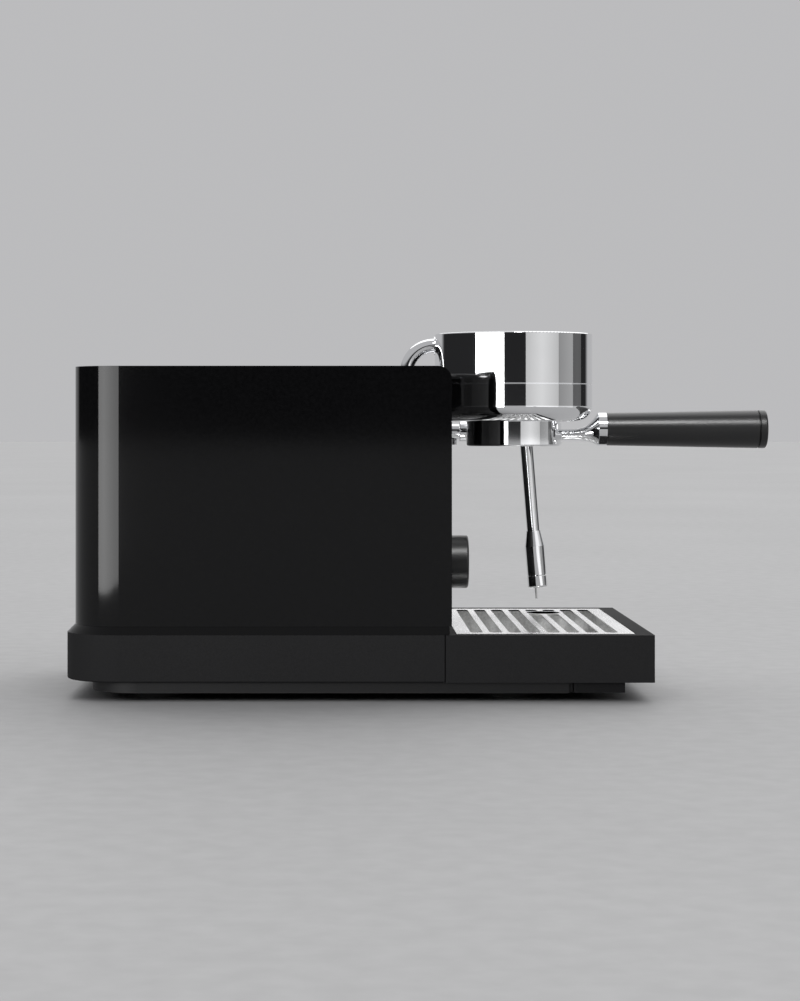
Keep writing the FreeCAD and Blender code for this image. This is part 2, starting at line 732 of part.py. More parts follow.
def front_fascia():
    bend_level = Z_DECK - FASCIA_BEND
    bend_x = X_FASCIA - FASCIA_BEND
    centre = (bend_x, bend_level)
    inside = (bend_x, Z_DECK - FASCIA_SHEET)
    profile = [
        (X_FASCIA, Z_PLATEAU),
        (X_FASCIA, bend_level),
        round_corner((X_FASCIA, bend_level), centre, (bend_x, Z_DECK)),
        (X_DECK_REAR, Z_DECK),
        (X_DECK_REAR, Z_DECK - FASCIA_SHEET),
        inside,
        round_corner(inside, centre, (X_FASCIA_BACK, bend_level)),
        (X_FASCIA_BACK, Z_PLATEAU),
    ]
    half = CASE_INSIDE - SLIDE_GAP
    face = outline(profile, lambda p: point(p[0], -half, p[1]))
    sheet = face.extrude(point(0, 2 * half, 0))

    def hole(radius, y, z):
        return rod(radius, point(X_FASCIA_BACK - OVERCUT, y, z), point(X_FASCIA + OVERCUT, y, z))

    holes = [hole(GROUP_BOLT_DIAMETER / 2 + SCREW_GAP, y, z) for y, z in group_bolt_places()]
    holes.append(hole(STUB_RADIUS + SCREW_GAP, Y_WAND, Z_WAND))
    holes.append(hole(BUSH_RADIUS + SCREW_GAP, Y_KNOB, Z_KNOB))
    grommet_seat = GROMMET_DIAMETER / 2 - GROMMET_LIP + CLOSE_GAP
    below = point(X_PIPE, 0, Z_DECK - FASCIA_SHEET - OVERCUT)
    holes.append(rod(grommet_seat, below, point(X_PIPE, 0, Z_DECK + OVERCUT)))
    return sheet.cut(holes)


def chassis_plate():
    half = CASE_INSIDE - 2 * SLIDE_GAP
    front = X_FASCIA_BACK - 2 * SLIDE_GAP
    top = Z_DECK - FASCIA_SHEET
    floor = box((X_BULKHEAD, front), (-half, half), (Z_PLATEAU, Z_FLOOR))
    bulkhead = box((X_BULKHEAD, X_BULKHEAD_FRONT), (-half, half), (Z_PLATEAU, top))
    hose_hole = rod(
        HOSE_RADIUS + 2 * SLIDE_GAP,
        point(X_BULKHEAD - OVERCUT, Y_PUMP, Z_HOSE),
        point(X_BULKHEAD_FRONT + OVERCUT, Y_PUMP, Z_HOSE),
    )
    groove = box(
        (X_BULKHEAD - OVERCUT, X_PUMP + HOSE_BEND + HOSE_RADIUS),
        (Y_PUMP - HOSE_RADIUS - SLIDE_GAP, Y_PUMP + HOSE_RADIUS + SLIDE_GAP),
        (Z_PLATEAU, Z_HOSE),
    )
    return joined([floor, bulkhead]).cut([hose_hole, groove])


# Group bell
def group_housing():
    # The round keeps a narrow flat beside the lip
    bell_round = min(BELL_ROUND, BELL_RADIUS - LIP_RADIUS - LIP_FLAT)
    round_start = BELL_RADIUS - bell_round
    round_end = Z_BELL + bell_round
    channel_top = Z_LUG + LUG_HEIGHT + SLIDE_GAP
    boss_bottom = Z_CEILING - SCREEN_DROP
    bell = lathe([
        (LIP_RADIUS, Z_BELL),
        (round_start, Z_BELL),
        round_corner((round_start, Z_BELL), (round_start, round_end), (BELL_RADIUS, round_end)),
        (BELL_RADIUS, Z_SEAM - SEAM_CHAMFER),
        (BELL_RADIUS - SEAM_CHAMFER, Z_SEAM),
        (BELL_RADIUS - BELL_WALL, Z_SEAM),
        (BELL_RADIUS - BELL_WALL, Z_GROUP_FLOOR),
        (0, Z_GROUP_FLOOR),
        (0, boss_bottom),
        (SCREEN_RADIUS, boss_bottom),
        (SCREEN_RADIUS, Z_CEILING),
        (POCKET_RADIUS, Z_CEILING),
        (POCKET_RADIUS, channel_top),
        (CHANNEL_RADIUS, channel_top),
        (CHANNEL_RADIUS, Z_BELL + BAYONET_LIP),
        (LIP_RADIUS, Z_BELL + BAYONET_LIP),
    ])
    neck = rounded_block(
        (X_FASCIA, -CHANNEL_RADIUS - BELL_WALL),
        (-NECK_WIDTH / 2, NECK_WIDTH / 2),
        (Z_NECK, Z_NECK_TOP),
        NECK_HEIGHT / 4,
        point(1, 0, 0),
    )
    bore_side = rod(CHANNEL_RADIUS + BELL_WALL, point(0, 0, Z_NECK), point(0, 0, Z_NECK_TOP))
    flange = rounded_block(
        (X_FASCIA, X_FASCIA + NECK_FLANGE_THICKNESS),
        (-NECK_WIDTH / 2 - NECK_FLANGE_MARGIN, NECK_WIDTH / 2 + NECK_FLANGE_MARGIN),
        (Z_FLANGE, Z_FLANGE_TOP),
        NECK_FLANGE_MARGIN / 2,
        point(1, 0, 0),
    )
    lip = (Z_BELL, Z_BELL + BAYONET_LIP)
    cuts = [lug_sector(CHANNEL_RADIUS, angle - UNLOCK_ANGLE, ENTRY_SPARE, lip) for angle in LUG_ANGLES]
    cuts.append(rod(
        SCREW_SHANK_DIAMETER / 2 + SCREW_GAP,
        point(0, 0, boss_bottom),
        point(0, 0, Z_GROUP_FLOOR - OVERCUT),
    ))
    for y, z in group_bolt_places():
        start = point(X_FASCIA, y, z)
        end = start + point(NECK_FLANGE_THICKNESS, 0, 0)
        cuts.append(rod(GROUP_BOLT_DIAMETER / 2 + SCREW_GAP, start, end))
    return joined([bell, neck.cut(bore_side), flange]).cut(cuts)


def lug_sector(radius, angle, spare, z):
    """Sector of the ring that a locking lug fills, centred on an angle about the group's axis."""
    spread = LUG_SPREAD + spare
    inner = RING_BORE + RING_WALL / 2
    sector = lathe([(inner, z[0]), (radius, z[0]), (radius, z[1]), (inner, z[1])], spread)
    return sector.rotated(point(0, 0, 0), point(0, 0, 1), angle - spread / 2)


def group_cover():
    inside = BELL_RADIUS - BELL_WALL
    edge = BELL_RADIUS - BELL_EDGE_ROUND
    edge_level = Z_BELL_TOP - BELL_EDGE_ROUND
    cup = lathe([
        (inside, Z_SEAM),
        (BELL_RADIUS - SEAM_CHAMFER, Z_SEAM),
        (BELL_RADIUS, Z_SEAM + SEAM_CHAMFER),
        (BELL_RADIUS, edge_level),
        round_corner((BELL_RADIUS, edge_level), (edge, edge_level), (edge, Z_BELL_TOP)),
        (0, Z_BELL_TOP),
        (0, Z_BELL_TOP - BELL_WALL),
        (inside, Z_BELL_TOP - BELL_WALL),
    ])
    start = point(-BELL_RADIUS - OVERCUT, 0, Z_PIPE)
    return cup.cut(rod(PIPE_RADIUS + SCREW_GAP, start, point(-inside + BELL_WALL, 0, Z_PIPE)))


def brew_boiler():
    top = Z_BELL_TOP - BELL_WALL - BOILER_HEADROOM
    rim = BELL_RADIUS - BELL_WALL - BOILER_RIM_GAP
    shoulder = BOILER_SHOULDER
    drum = lathe([
        (0, Z_GROUP_FLOOR),
        (rim, Z_GROUP_FLOOR),
        (rim, Z_GROUP_FLOOR + GROUP_FLOOR),
        (BOILER_RADIUS, Z_GROUP_FLOOR + GROUP_FLOOR),
        (BOILER_RADIUS, top - shoulder),
        round_corner(
            (BOILER_RADIUS, top - shoulder),
            (BOILER_RADIUS - shoulder, top - shoulder),
            (BOILER_RADIUS - shoulder, top),
        ),
        (0, top),
    ])
    start = point(X_BOILER_PORT, 0, Z_PIPE)
    port_end = -BOILER_RADIUS / 2
    port = rod(PIPE_RADIUS + BOILER_PORT_WALL, start, point(port_end, 0, Z_PIPE))
    water = rod(
        BOILER_RADIUS - BOILER_WALL,
        point(0, 0, Z_GROUP_FLOOR + BOILER_WALL),
        point(0, 0, top - BOILER_WALL),
    )
    way_in = rod(PIPE_BORE / 2, start, point(port_end - BOILER_WALL, 0, Z_PIPE))
    return joined([drum, port]).cut([water, way_in])


def boiler_heater():
    bottom = Z_GROUP_FLOOR + GROUP_FLOOR
    return ring(
        BOILER_RADIUS + HEATER_BAND,
        BOILER_RADIUS + CLOSE_GAP,
        point(0, 0, bottom),
        point(0, 0, bottom + HEATER_HEIGHT),
    )


def group_gasket():
    return ring(
        GASKET_RADIUS, GASKET_RADIUS - GASKET_WIDTH, point(0, 0, Z_GASKET), point(0, 0, Z_CEILING)
    )


def shower_screen():
    top = Z_CEILING - SCREEN_DROP
    edge = SCREEN_RADIUS - SCREEN_THICKNESS
    hole = SCREW_SHANK_DIAMETER / 2 + SCREW_GAP
    return lathe([
        (hole, top - SCREEN_THICKNESS),
        (edge, top - SCREEN_THICKNESS),
        round_corner((edge, top - SCREEN_THICKNESS), (edge, top), (SCREEN_RADIUS, top)),
        (hole, top),
    ])


def screen_screw():
    seat = Z_CEILING - SCREEN_DROP - SCREEN_THICKNESS
    head = rod(SCREW_HEAD_DIAMETER / 2, point(0, 0, seat - SCREW_HEAD_HEIGHT / 2), point(0, 0, seat))
    shank = rod(SCREW_SHANK_DIAMETER / 2, point(0, 0, seat), point(0, 0, Z_GROUP_FLOOR - 2 * OVERCUT))
    return joined([head, shank])


def group_backing_plate():
    half = NECK_WIDTH / 2 + NECK_FLANGE_MARGIN
    plate = rounded_block(
        (X_FASCIA_BACK - BACKING_PLATE_THICKNESS, X_FASCIA_BACK),
        (-half, half),
        (Z_FLANGE, Z_FLANGE_TOP),
        NECK_FLANGE_MARGIN / 2,
        point(1, 0, 0),
    )
    holes = []
    for y, z in group_bolt_places():
        start = point(X_FASCIA_BACK - BACKING_PLATE_THICKNESS, y, z)
        holes.append(rod(GROUP_BOLT_DIAMETER / 2 + SCREW_GAP, start, point(X_FASCIA_BACK, y, z)))
    return plate.cut(holes)


def group_bolts():
    bolts = []
    seat = X_FASCIA_BACK - BACKING_PLATE_THICKNESS
    for y, z in group_bolt_places():
        head = rod(GROUP_BOLT_HEAD / 2, point(seat - SCREW_HEAD_HEIGHT, y, z), point(seat, y, z))
        end = X_FASCIA + NECK_FLANGE_THICKNESS - EDGE_BREAK
        shank = rod(GROUP_BOLT_DIAMETER / 2, point(seat, y, z), point(end, y, z))
        bolts.append(joined([head, shank]))
    return Part.makeCompound(bolts)


# Feed pipe
def feed_pipe():
    corners = [
        point(X_PIPE, 0, Z_VALVE),
        point(X_PIPE, 0, Z_PIPE),
        point(X_BOILER_PORT, 0, Z_PIPE),
    ]
    return piped(PIPE_RADIUS, corners, PIPE_BEND).cut(piped(PIPE_BORE / 2, corners, PIPE_BEND))


def pipe_collar():
    end = point(-BELL_RADIUS + PIPE_COLLAR_LENGTH, 0, Z_PIPE)
    start = point(-BELL_RADIUS - PIPE_STANDOFF, 0, Z_PIPE)
    collar = ring(PIPE_COLLAR_DIAMETER / 2, PIPE_RADIUS + SCREW_GAP, start, end)
    bell = rod(BELL_RADIUS, point(0, 0, Z_SEAM), point(0, 0, Z_BELL_TOP))
    return collar.cut(bell)


def pipe_grommet():
    seat = GROMMET_DIAMETER / 2 - GROMMET_LIP
    bore = PIPE_RADIUS + SCREW_GAP
    under = Z_DECK - FASCIA_SHEET
    body = lathe([
        (bore, under - GROMMET_LIP),
        (seat + GROMMET_LIP, under - GROMMET_LIP),
        (seat + GROMMET_LIP, under),
        (seat, under),
        (seat, Z_DECK),
        (seat + GROMMET_LIP, Z_DECK),
        (seat, Z_DECK + GROMMET_LIP),
        (bore, Z_DECK + GROMMET_LIP),
    ])
    return body.translated(point(X_PIPE, 0, 0))


# Portafilter
def portafilter_body():
    edge = RING_RADIUS - RING_EDGE_ROUND
    edge_level = Z_RING + RING_EDGE_ROUND
    groove_level = Z_RING_TOP - CLIP_DEPTH
    groove_floor = RING_BORE + CLIP_WIRE
    collar = lathe([
        (RING_BORE, Z_RING),
        (edge, Z_RING),
        round_corner((edge, Z_RING), (edge, edge_level), (RING_RADIUS, edge_level)),
        (RING_RADIUS, Z_RING_TOP),
        (RING_BORE, Z_RING_TOP),
        (RING_BORE, groove_level + CLIP_WIRE),
        (groove_floor, groove_level + CLIP_WIRE),
        (groove_floor, groove_level - CLIP_WIRE),
        (RING_BORE, groove_level - CLIP_WIRE),
    ])
    lug_levels = (Z_LUG, Z_LUG + LUG_HEIGHT)
    lugs = [lug_sector(LUG_RADIUS, angle, 0, lug_levels) for angle in LUG_ANGLES]
    pad_levels = (Z_RING + PAD_MARGIN, Z_BELL - PAD_MARGIN)
    pad_shell = ring(
        RING_RADIUS + PAD_PROUD,
        RING_BORE + RING_WALL / 2,
        point(0, 0, pad_levels[0]),
        point(0, 0, pad_levels[1]),
    )
    pad_front = rounded_block(
        (RING_BORE / 2, RING_RADIUS + 2 * PAD_PROUD),
        (-PAD_WIDTH / 2, PAD_WIDTH / 2),
        pad_levels,
        (pad_levels[1] - pad_levels[0]) / 3,
        point(1, 0, 0),
    )
    return joined([collar, pad_shell.common(pad_front), handle_neck(), handle_ferrule()] + lugs)


def handle_neck():
    """Neck that grows from a flat oval on the ring to the round ferrule."""
    root_z = Z_BELL - NECK_ROOT_DROP
    ferrule = GRIP_START_DIAMETER / 2
    root_half = NECK_ROOT_HEIGHT / 2
    root_side = NECK_ROOT_WIDTH / 2
    reach = X_FERRULE - RING_RADIUS
    rise = Z_HANDLE - root_z
    wires = [oval(RING_RADIUS - RING_WALL / 2, root_z, root_side, root_half)]
    for share, swell in NECK_FLARE:
        wires.append(oval(
            RING_RADIUS + share * reach,
            root_z + swell * rise,
            root_side + swell * (ferrule - root_side),
            root_half + swell * (ferrule - root_half),
        ))
    return Part.makeLoft(wires, True, False)


def oval(x, z, half_width, half_height):
    """Upright oval across X, as one closed curve that starts at its right side."""
    points = []
    for index in range(OVAL_POINTS):
        turn = 2 * math.pi * index / OVAL_POINTS
        points.append(point(x, half_width * math.cos(turn), z + half_height * math.sin(turn)))
    curve = Part.BSplineCurve()
    curve.interpolate(points, True)
    return Part.Wire(curve.toShape())


def handle_ferrule():
    radius = GRIP_START_DIAMETER / 2
    bore = ROD_RADIUS + SCREW_GAP
    return lathe_along_x([
        (X_FERRULE - CLOSE_GAP, 0),
        (X_FERRULE - CLOSE_GAP, radius - EDGE_BREAK),
        (X_FERRULE + EDGE_BREAK, radius),
        (X_GRIP - EDGE_BREAK, radius),
        (X_GRIP, radius - EDGE_BREAK),
        (X_GRIP, bore),
        (X_FERRULE + FERRULE_WEB, bore),
        (X_FERRULE + FERRULE_WEB, 0),
    ], 0, Z_HANDLE)


def filter_basket():
    outer = RING_BORE - BASKET_PLAY
    inner = outer - BASKET_WALL
    bottom = Z_RING_TOP - BASKET_DEPTH
    corner = BASKET_CORNER
    return lathe([
        (0, bottom),
        (outer - corner, bottom),
        round_corner((outer - corner, bottom), (outer - corner, bottom + corner), (outer, bottom + corner)),
        (outer, Z_RING_TOP),
        (RING_RADIUS - 2 * SLIDE_GAP, Z_RING_TOP),
        (RING_RADIUS - 2 * SLIDE_GAP, Z_RING_TOP + BASKET_RIM),
        (inner, Z_RING_TOP + BASKET_RIM),
        (inner, bottom + corner),
        round_corner(
            (inner, bottom + corner),
            (outer - corner, bottom + corner),
            (outer - corner, bottom + BASKET_WALL),
        ),
        (0, bottom + BASKET_WALL),
    ])


def basket_clip():
    """Open wire ring that springs into the groove and bears on the basket."""
    wire = CLIP_WIRE / 2
    middle = RING_BORE - BASKET_PLAY + SCREW_GAP + wire
    level = Z_RING_TOP - CLIP_DEPTH
    circle = Part.Face(Part.Wire(Part.makeCircle(wire, point(middle, 0, level), point(0, 1, 0))))
    return circle.revolve(point(0, 0, 0), point(0, 0, 1), CLIP_SWEEP)


def grip_radius(x):
    start = GRIP_START_DIAMETER / 2
    return start + (GRIP_END_DIAMETER / 2 - start) * (x - X_GRIP) / GRIP_LENGTH


def handle_grip():
    bore = ROD_RADIUS + SCREW_GAP
    depth = X_GRIP + HANDLE_ROD_LENGTH
    end = X_CAP - CAP_GROOVE
    neck = GRIP_END_DIAMETER / 2 - CAP_ROUND
    return lathe_along_x([
        (depth, 0),
        (depth, bore),
        (X_GRIP, bore),
        (X_GRIP, grip_radius(X_GRIP) - EDGE_BREAK),
        (X_GRIP + EDGE_BREAK, grip_radius(X_GRIP)),
        (end - EDGE_BREAK, grip_radius(end)),
        (end, grip_radius(end) - EDGE_BREAK),
        (end, neck),
        (X_CAP, neck),
        (X_CAP, 0),
    ], 0, Z_HANDLE)


def handle_cap():
    radius = GRIP_END_DIAMETER / 2
    edge = radius - CAP_ROUND
    round_start = X_HANDLE_END - CAP_ROUND
    return lathe_along_x([
        (X_CAP, 0),
        (X_CAP, radius - EDGE_BREAK),
        (X_CAP + EDGE_BREAK, radius),
        (round_start, radius),
        round_corner((round_start, radius), (round_start, edge), (X_HANDLE_END, edge)),
        (X_HANDLE_END, 0),
    ], 0, Z_HANDLE)


def handle_rod():
    start = point(X_FERRULE + FERRULE_WEB, 0, Z_HANDLE)
    return rod(ROD_RADIUS, start, point(X_GRIP + HANDLE_ROD_LENGTH, 0, Z_HANDLE))


# Steam wand
def wand_stub():
    bore = TAIL_RADIUS + RUNNING_GAP
    flange = STUB_FLANGE_DIAMETER / 2
    bore_end = X_STUB - WAND_TAIL_LENGTH
    stub = lathe_along_x([
        (X_STUB_TAIL, STEAM_TUBE_RADIUS / 2),
        (X_STUB_TAIL, STUB_RADIUS),
        (X_FASCIA, STUB_RADIUS),
        (X_FASCIA, flange),
        (X_FASCIA + STUB_FLANGE_THICKNESS / 2, flange),
        (X_FASCIA + STUB_FLANGE_THICKNESS, STUB_RADIUS),
        (X_STUB, STUB_RADIUS),
        (X_STUB, bore),
        (bore_end, bore),
        (bore_end, STEAM_TUBE_RADIUS / 2),
    ], Y_WAND, Z_WAND)
    screw_x = X_STUB - LOCK_SCREW_INSET
    screw_hole = rod(
        LOCK_SCREW_DIAMETER / 4 + CLOSE_GAP,
        point(screw_x, Y_WAND, Z_WAND - STUB_RADIUS),
        point(screw_x, Y_WAND, Z_WAND),
    )
    return stub.cut(screw_hole)


def wand_lock_screw():
    x = X_STUB - LOCK_SCREW_INSET
    bottom = point(x, Y_WAND, Z_WAND - STUB_RADIUS - LOCK_SCREW_LENGTH)
    head = rod(LOCK_SCREW_DIAMETER / 2, bottom, point(x, Y_WAND, Z_WAND))
    stub = rod(STUB_RADIUS, point(X_FASCIA, Y_WAND, Z_WAND), point(X_STUB, Y_WAND, Z_WAND))
    shank_top = Z_WAND - TAIL_RADIUS - RUNNING_GAP - SCREW_GAP
    shank = rod(LOCK_SCREW_DIAMETER / 4, bottom, point(x, Y_WAND, shank_top))
    return joined([head.cut(stub), shank])


def stub_nut():
    corner = STUB_NUT_SPAN / math.sqrt(3)
    points = []
    for index in range(6):
        turn = math.pi * index / 3
        points.append((corner * math.cos(turn), corner * math.sin(turn)))
    x = X_FASCIA_BACK - STUB_NUT_THICKNESS
    face = outline(points, lambda p: point(x, Y_WAND + p[0], Z_WAND + p[1]))
    nut = face.extrude(point(STUB_NUT_THICKNESS, 0, 0))
    start = point(x, Y_WAND, Z_WAND)
    return nut.cut(rod(STUB_RADIUS + CLOSE_GAP, start, point(X_FASCIA_BACK, Y_WAND, Z_WAND)))


def wand_nut():
    radius = WAND_NUT_DIAMETER / 2
    start = X_STUB + SLIDE_GAP
    end = start + WAND_NUT_LENGTH
    bore = TUBE_RADIUS + CLOSE_GAP
    round_start = end - WAND_NUT_ROUND
    edge = radius - WAND_NUT_ROUND
    return lathe_along_x([
        (start, bore),
        (start, radius - EDGE_BREAK),
        (start + EDGE_BREAK, radius),
        (round_start, radius),
        round_corner((round_start, radius), (round_start, edge), (end, edge)),
        (end, bore),
    ], Y_WAND, Z_WAND)


def wand_length():
    """Length of the raked part of the wand, from the elbow's corner to the end of the nozzle."""
    return (Z_WAND - Z_RIM - TIP_CLEARANCE) / math.cos(math.radians(WAND_RAKE))


def below_elbow(distance):
    """Point on the upright wand at a distance below the elbow's corner."""
    return point(X_WAND, Y_WAND, Z_WAND - distance)


def wand_tube():
    rake = math.radians(WAND_RAKE)
    length = wand_length() - NOZZLE_LENGTH - TIP_TAPER
    corners = [
        point(X_STUB + SLIDE_GAP, Y_WAND, Z_WAND),
        point(X_WAND, Y_WAND, Z_WAND),
        point(X_WAND + length * math.sin(rake), Y_WAND, Z_WAND - length * math.cos(rake)),
    ]
    tail_end = point(X_STUB + SLIDE_GAP - WAND_TAIL_LENGTH, Y_WAND, Z_WAND)
    tail = rod(TAIL_RADIUS, tail_end, corners[0])
    steam_way = piped(WAND_BORE / 2, [tail_end] + corners[1:], WAND_BEND)
    return joined([piped(TUBE_RADIUS, corners, WAND_BEND), tail]).cut(steam_way)


def wand_profile(points):
    """Piece turned about the wand's raked axis from (distance below the elbow, radius) points."""
    face = outline(points, lambda p: point(X_WAND + p[1], Y_WAND, Z_WAND - p[0]))
    return raked(face.revolve(below_elbow(0), point(0, 0, 1), 360.0))


def wand_sleeve():
    length = wand_length()
    start = length - TIP_LENGTH
    end = length - NOZZLE_LENGTH
    bore = TUBE_RADIUS + CLOSE_GAP
    radius = TIP_DIAMETER / 2
    return wand_profile([
        (start, bore),
        (start, TUBE_RADIUS + EDGE_BREAK),
        (start + TIP_TAPER, radius),
        (end - EDGE_BREAK, radius),
        (end, radius - EDGE_BREAK),
        (end, 0),
        (end - TIP_TAPER, 0),
        (end - TIP_TAPER, bore),
    ])


def wand_nozzle():
    length = wand_length()
    start = length - NOZZLE_LENGTH
    radius = TIP_DIAMETER / 2
    edge = radius - NOZZLE_ROUND
    round_start = length - NOZZLE_ROUND
    return wand_profile([
        (start, 0),
        (start, radius - EDGE_BREAK),
        (start + EDGE_BREAK, radius),
        (round_start, radius),
        round_corner((round_start, radius), (round_start, edge), (length, edge)),
        (length, 0),
    ])


def wand_needle():
    length = wand_length()
    offset = point(-NEEDLE_OFFSET, 0, 0)
    start = below_elbow(length) + offset
    return raked(rod(NEEDLE_DIAMETER / 2, start, below_elbow(length + NEEDLE_LENGTH) + offset))


# Selector knob
def selector_knob():
    back = X_FASCIA + KNOB_GAP
    front = back + KNOB_LENGTH
    radius = KNOB_DIAMETER / 2
    edge = radius - KNOB_EDGE_ROUND
    round_start = front - KNOB_EDGE_ROUND
    hub = SHAFT_RADIUS + KNOB_WALL
    bore = SHAFT_RADIUS + CLOSE_GAP
    depth = back + KNOB_SKIRT_DEPTH
    knob = lathe_along_x([
        (back, radius - EDGE_BREAK),
        (back + EDGE_BREAK, radius),
        (round_start, radius),
        round_corner((round_start, radius), (round_start, edge), (front, edge)),
        (front, 0),
        (back + KNOB_GAP + SHAFT_GRIP, 0),
        (back + KNOB_GAP + SHAFT_GRIP, bore),
        (back + KNOB_GAP, bore),
        (back + KNOB_GAP, hub),
        (depth, hub),
        (depth, radius - KNOB_WALL),
        (back, radius - KNOB_WALL),
    ], Y_KNOB, Z_KNOB)
    pointer = box(
        (front - POINTER_DEPTH, front),
        (Y_KNOB - POINTER_WIDTH / 2, Y_KNOB + POINTER_WIDTH / 2),
        (Z_KNOB + edge - POINTER_LENGTH, Z_KNOB + edge - POINTER_WIDTH),
    )
    return knob.cut(pointer)


def knob_shaft():
    end = X_FASCIA + 2 * KNOB_GAP + SHAFT_GRIP
    start = X_FASCIA_BACK - SHAFT_TAIL
    return rod(SHAFT_RADIUS, point(start, Y_KNOB, Z_KNOB), point(end, Y_KNOB, Z_KNOB))


def selector_switch():
    back = X_FASCIA_BACK - SWITCH_DEPTH
    bore = SHAFT_RADIUS + RUNNING_GAP
    return lathe_along_x([
        (back, 0),
        (back, SWITCH_DIAMETER / 2),
        (X_FASCIA_BACK, SWITCH_DIAMETER / 2),
        (X_FASCIA_BACK, BUSH_RADIUS),
        (X_FASCIA, BUSH_RADIUS),
        (X_FASCIA, bore),
        (X_FASCIA_BACK - SHAFT_TAIL - SLIDE_GAP, bore),
        (X_FASCIA_BACK - SHAFT_TAIL - SLIDE_GAP, 0),
    ], Y_KNOB, Z_KNOB)


# Drip tray
def tray_rear():
    return X_BASE_FRONT + TRAY_GAP


def drip_tray():
    outer = box((tray_rear(), X_TRAY_FRONT), (-HALF_WIDTH, HALF_WIDTH), (Z_BASE, Z_RIM))
    outer = rounded(outer, TRAY_CORNER_ROUND, along(point(0, 0, 1)))
    recess = box(
        (X_GRID_REAR - GRID_GAP, X_GRID_FRONT + GRID_GAP),
        (-GRID_HALF - GRID_GAP, GRID_HALF + GRID_GAP),
        (Z_RIM - GRID_THICKNESS, Z_RIM),
    )
    well = rounded_block(
        (X_GRID_REAR + GRID_LEDGE, X_GRID_FRONT - GRID_LEDGE),
        (GRID_LEDGE - GRID_HALF, GRID_HALF - GRID_LEDGE),
        (Z_BASE + TRAY_FLOOR, Z_RIM),
        PAN_CORNER,
        point(0, 0, 1),
    )
    foot_rear = X_TONGUE + TRAY_FOOT_GAP
    foot = rounded_block(
        (foot_rear, foot_rear + TRAY_FOOT_LENGTH),
        (-PLINTH_HALF, PLINTH_HALF),
        (Z_PLINTH + TRAY_FOOT_LIFT, Z_BASE + TRAY_FLOOR / 2),
        TRAY_CORNER_ROUND,
        point(0, 0, 1),
    )

    def groove(y):
        half = RAIL_WIDTH / 2 + SLIDE_GAP
        return box((tray_rear(), foot_rear), (y - half, y + half), (Z_BASE, Z_BASE + RAIL_HEIGHT))

    return joined([outer.cut([recess, well]), foot]).cut(both_sides(groove, RAIL_SPACING / 2))


def drip_pan():
    x = (X_GRID_REAR + GRID_LEDGE + SLIDE_GAP, X_GRID_FRONT - GRID_LEDGE - SLIDE_GAP)
    half = GRID_HALF - GRID_LEDGE - SLIDE_GAP
    z = (Z_BASE + TRAY_FLOOR, Z_RIM - GRID_THICKNESS - PAN_HEADROOM)
    outer = rounded_block(x, (-half, half), z, PAN_CORNER, point(0, 0, 1))
    inner = rounded_block(
        (x[0] + PAN_WALL, x[1] - PAN_WALL),
        (PAN_WALL - half, half - PAN_WALL),
        (z[0] + PAN_WALL, z[1]),
        PAN_CORNER - PAN_WALL,
        point(0, 0, 1),
    )
    return outer.cut(inner)


def slot_middles():
    """Middle lines of the grid's slots, spread evenly about the middle of the grid."""
    middle = (X_GRID_REAR + X_GRID_FRONT) / 2
    first = middle - SLOT_PITCH * (SLOT_COUNT - 1) / 2
    return [first + index * SLOT_PITCH for index in range(SLOT_COUNT)]


def drain_place():
    rake = math.radians(WAND_RAKE)
    return (X_WAND + wand_length() * math.sin(rake) + DRAIN_LEAD, Y_WAND)


def tray_grid():
    z = (Z_RIM - GRID_THICKNESS, Z_RIM)
    plate = rounded_block(
        (X_GRID_REAR, X_GRID_FRONT), (-GRID_HALF, GRID_HALF), z, GRID_CORNER, point(0, 0, 1)
    )
    slots = []
    for x in slot_middles():
        slots.append(rounded_block(
            (x - SLOT_WIDTH / 2, x + SLOT_WIDTH / 2),
            (SLOT_MARGIN - GRID_HALF, GRID_HALF - SLOT_MARGIN),
            z,
            SLOT_WIDTH / 2 - CLOSE_GAP,
            point(0, 0, 1),
        ))
    x, y = drain_place()
    bore = DRAIN_DIAMETER / 2
    foot, under, top = (point(x, y, level) for level in (Z_RIM - DRAIN_SLEEVE, z[0], z[1]))
    land = rod(bore + DRAIN_RIM, under, top)
    sleeve = rod(bore + GRID_THICKNESS, foot, top)
    return joined([plate.cut(slots), land, sleeve]).cut(rod(bore, foot, top))


# Water tank and lid
def water_tank():
    outer_z = (Z_PLATEAU + SLIDE_GAP, Z_TANK_TOP)
    outer = rounded_block(
        (X_TANK_REAR, X_TANK_FRONT), (-TANK_HALF, TANK_HALF), outer_z, TANK_CORNER, point(0, 0, 1)
    )

    def inside(z):
        return rounded_block(
            (X_TANK_REAR + TANK_WALL, X_TANK_FRONT - TANK_WALL),
            (TANK_WALL - TANK_HALF, TANK_HALF - TANK_WALL),
            z,
            TANK_CORNER - TANK_WALL,
            point(0, 0, 1),
        )

    water = inside((Z_TANK_FLOOR + TANK_WALL, Z_TANK_TOP))
    under = inside((outer_z[0], Z_TANK_FLOOR))
    hose_gap = box(
        (X_TANK_FRONT - 2 * TANK_WALL, X_TANK_FRONT + OVERCUT),
        (Y_PUMP - HOSE_DIAMETER, Y_PUMP + HOSE_DIAMETER),
        (outer_z[0], Z_TANK_FLOOR),
    )
    outlet = rod(
        OUTLET_DIAMETER / 2,
        point(X_SEAT, Y_PUMP, Z_TANK_FLOOR - TANK_SKIRT / 3),
        point(X_SEAT, Y_PUMP, Z_TANK_FLOOR + TANK_WALL / 2),
    )
    way_out = rod(
        OUTLET_DIAMETER / 4,
        point(X_SEAT, Y_PUMP, Z_PLATEAU),
        point(X_SEAT, Y_PUMP, Z_TANK_FLOOR + 2 * TANK_WALL),
    )

    return joined([outer.cut([water, under, hose_gap]), outlet]).cut(way_out)


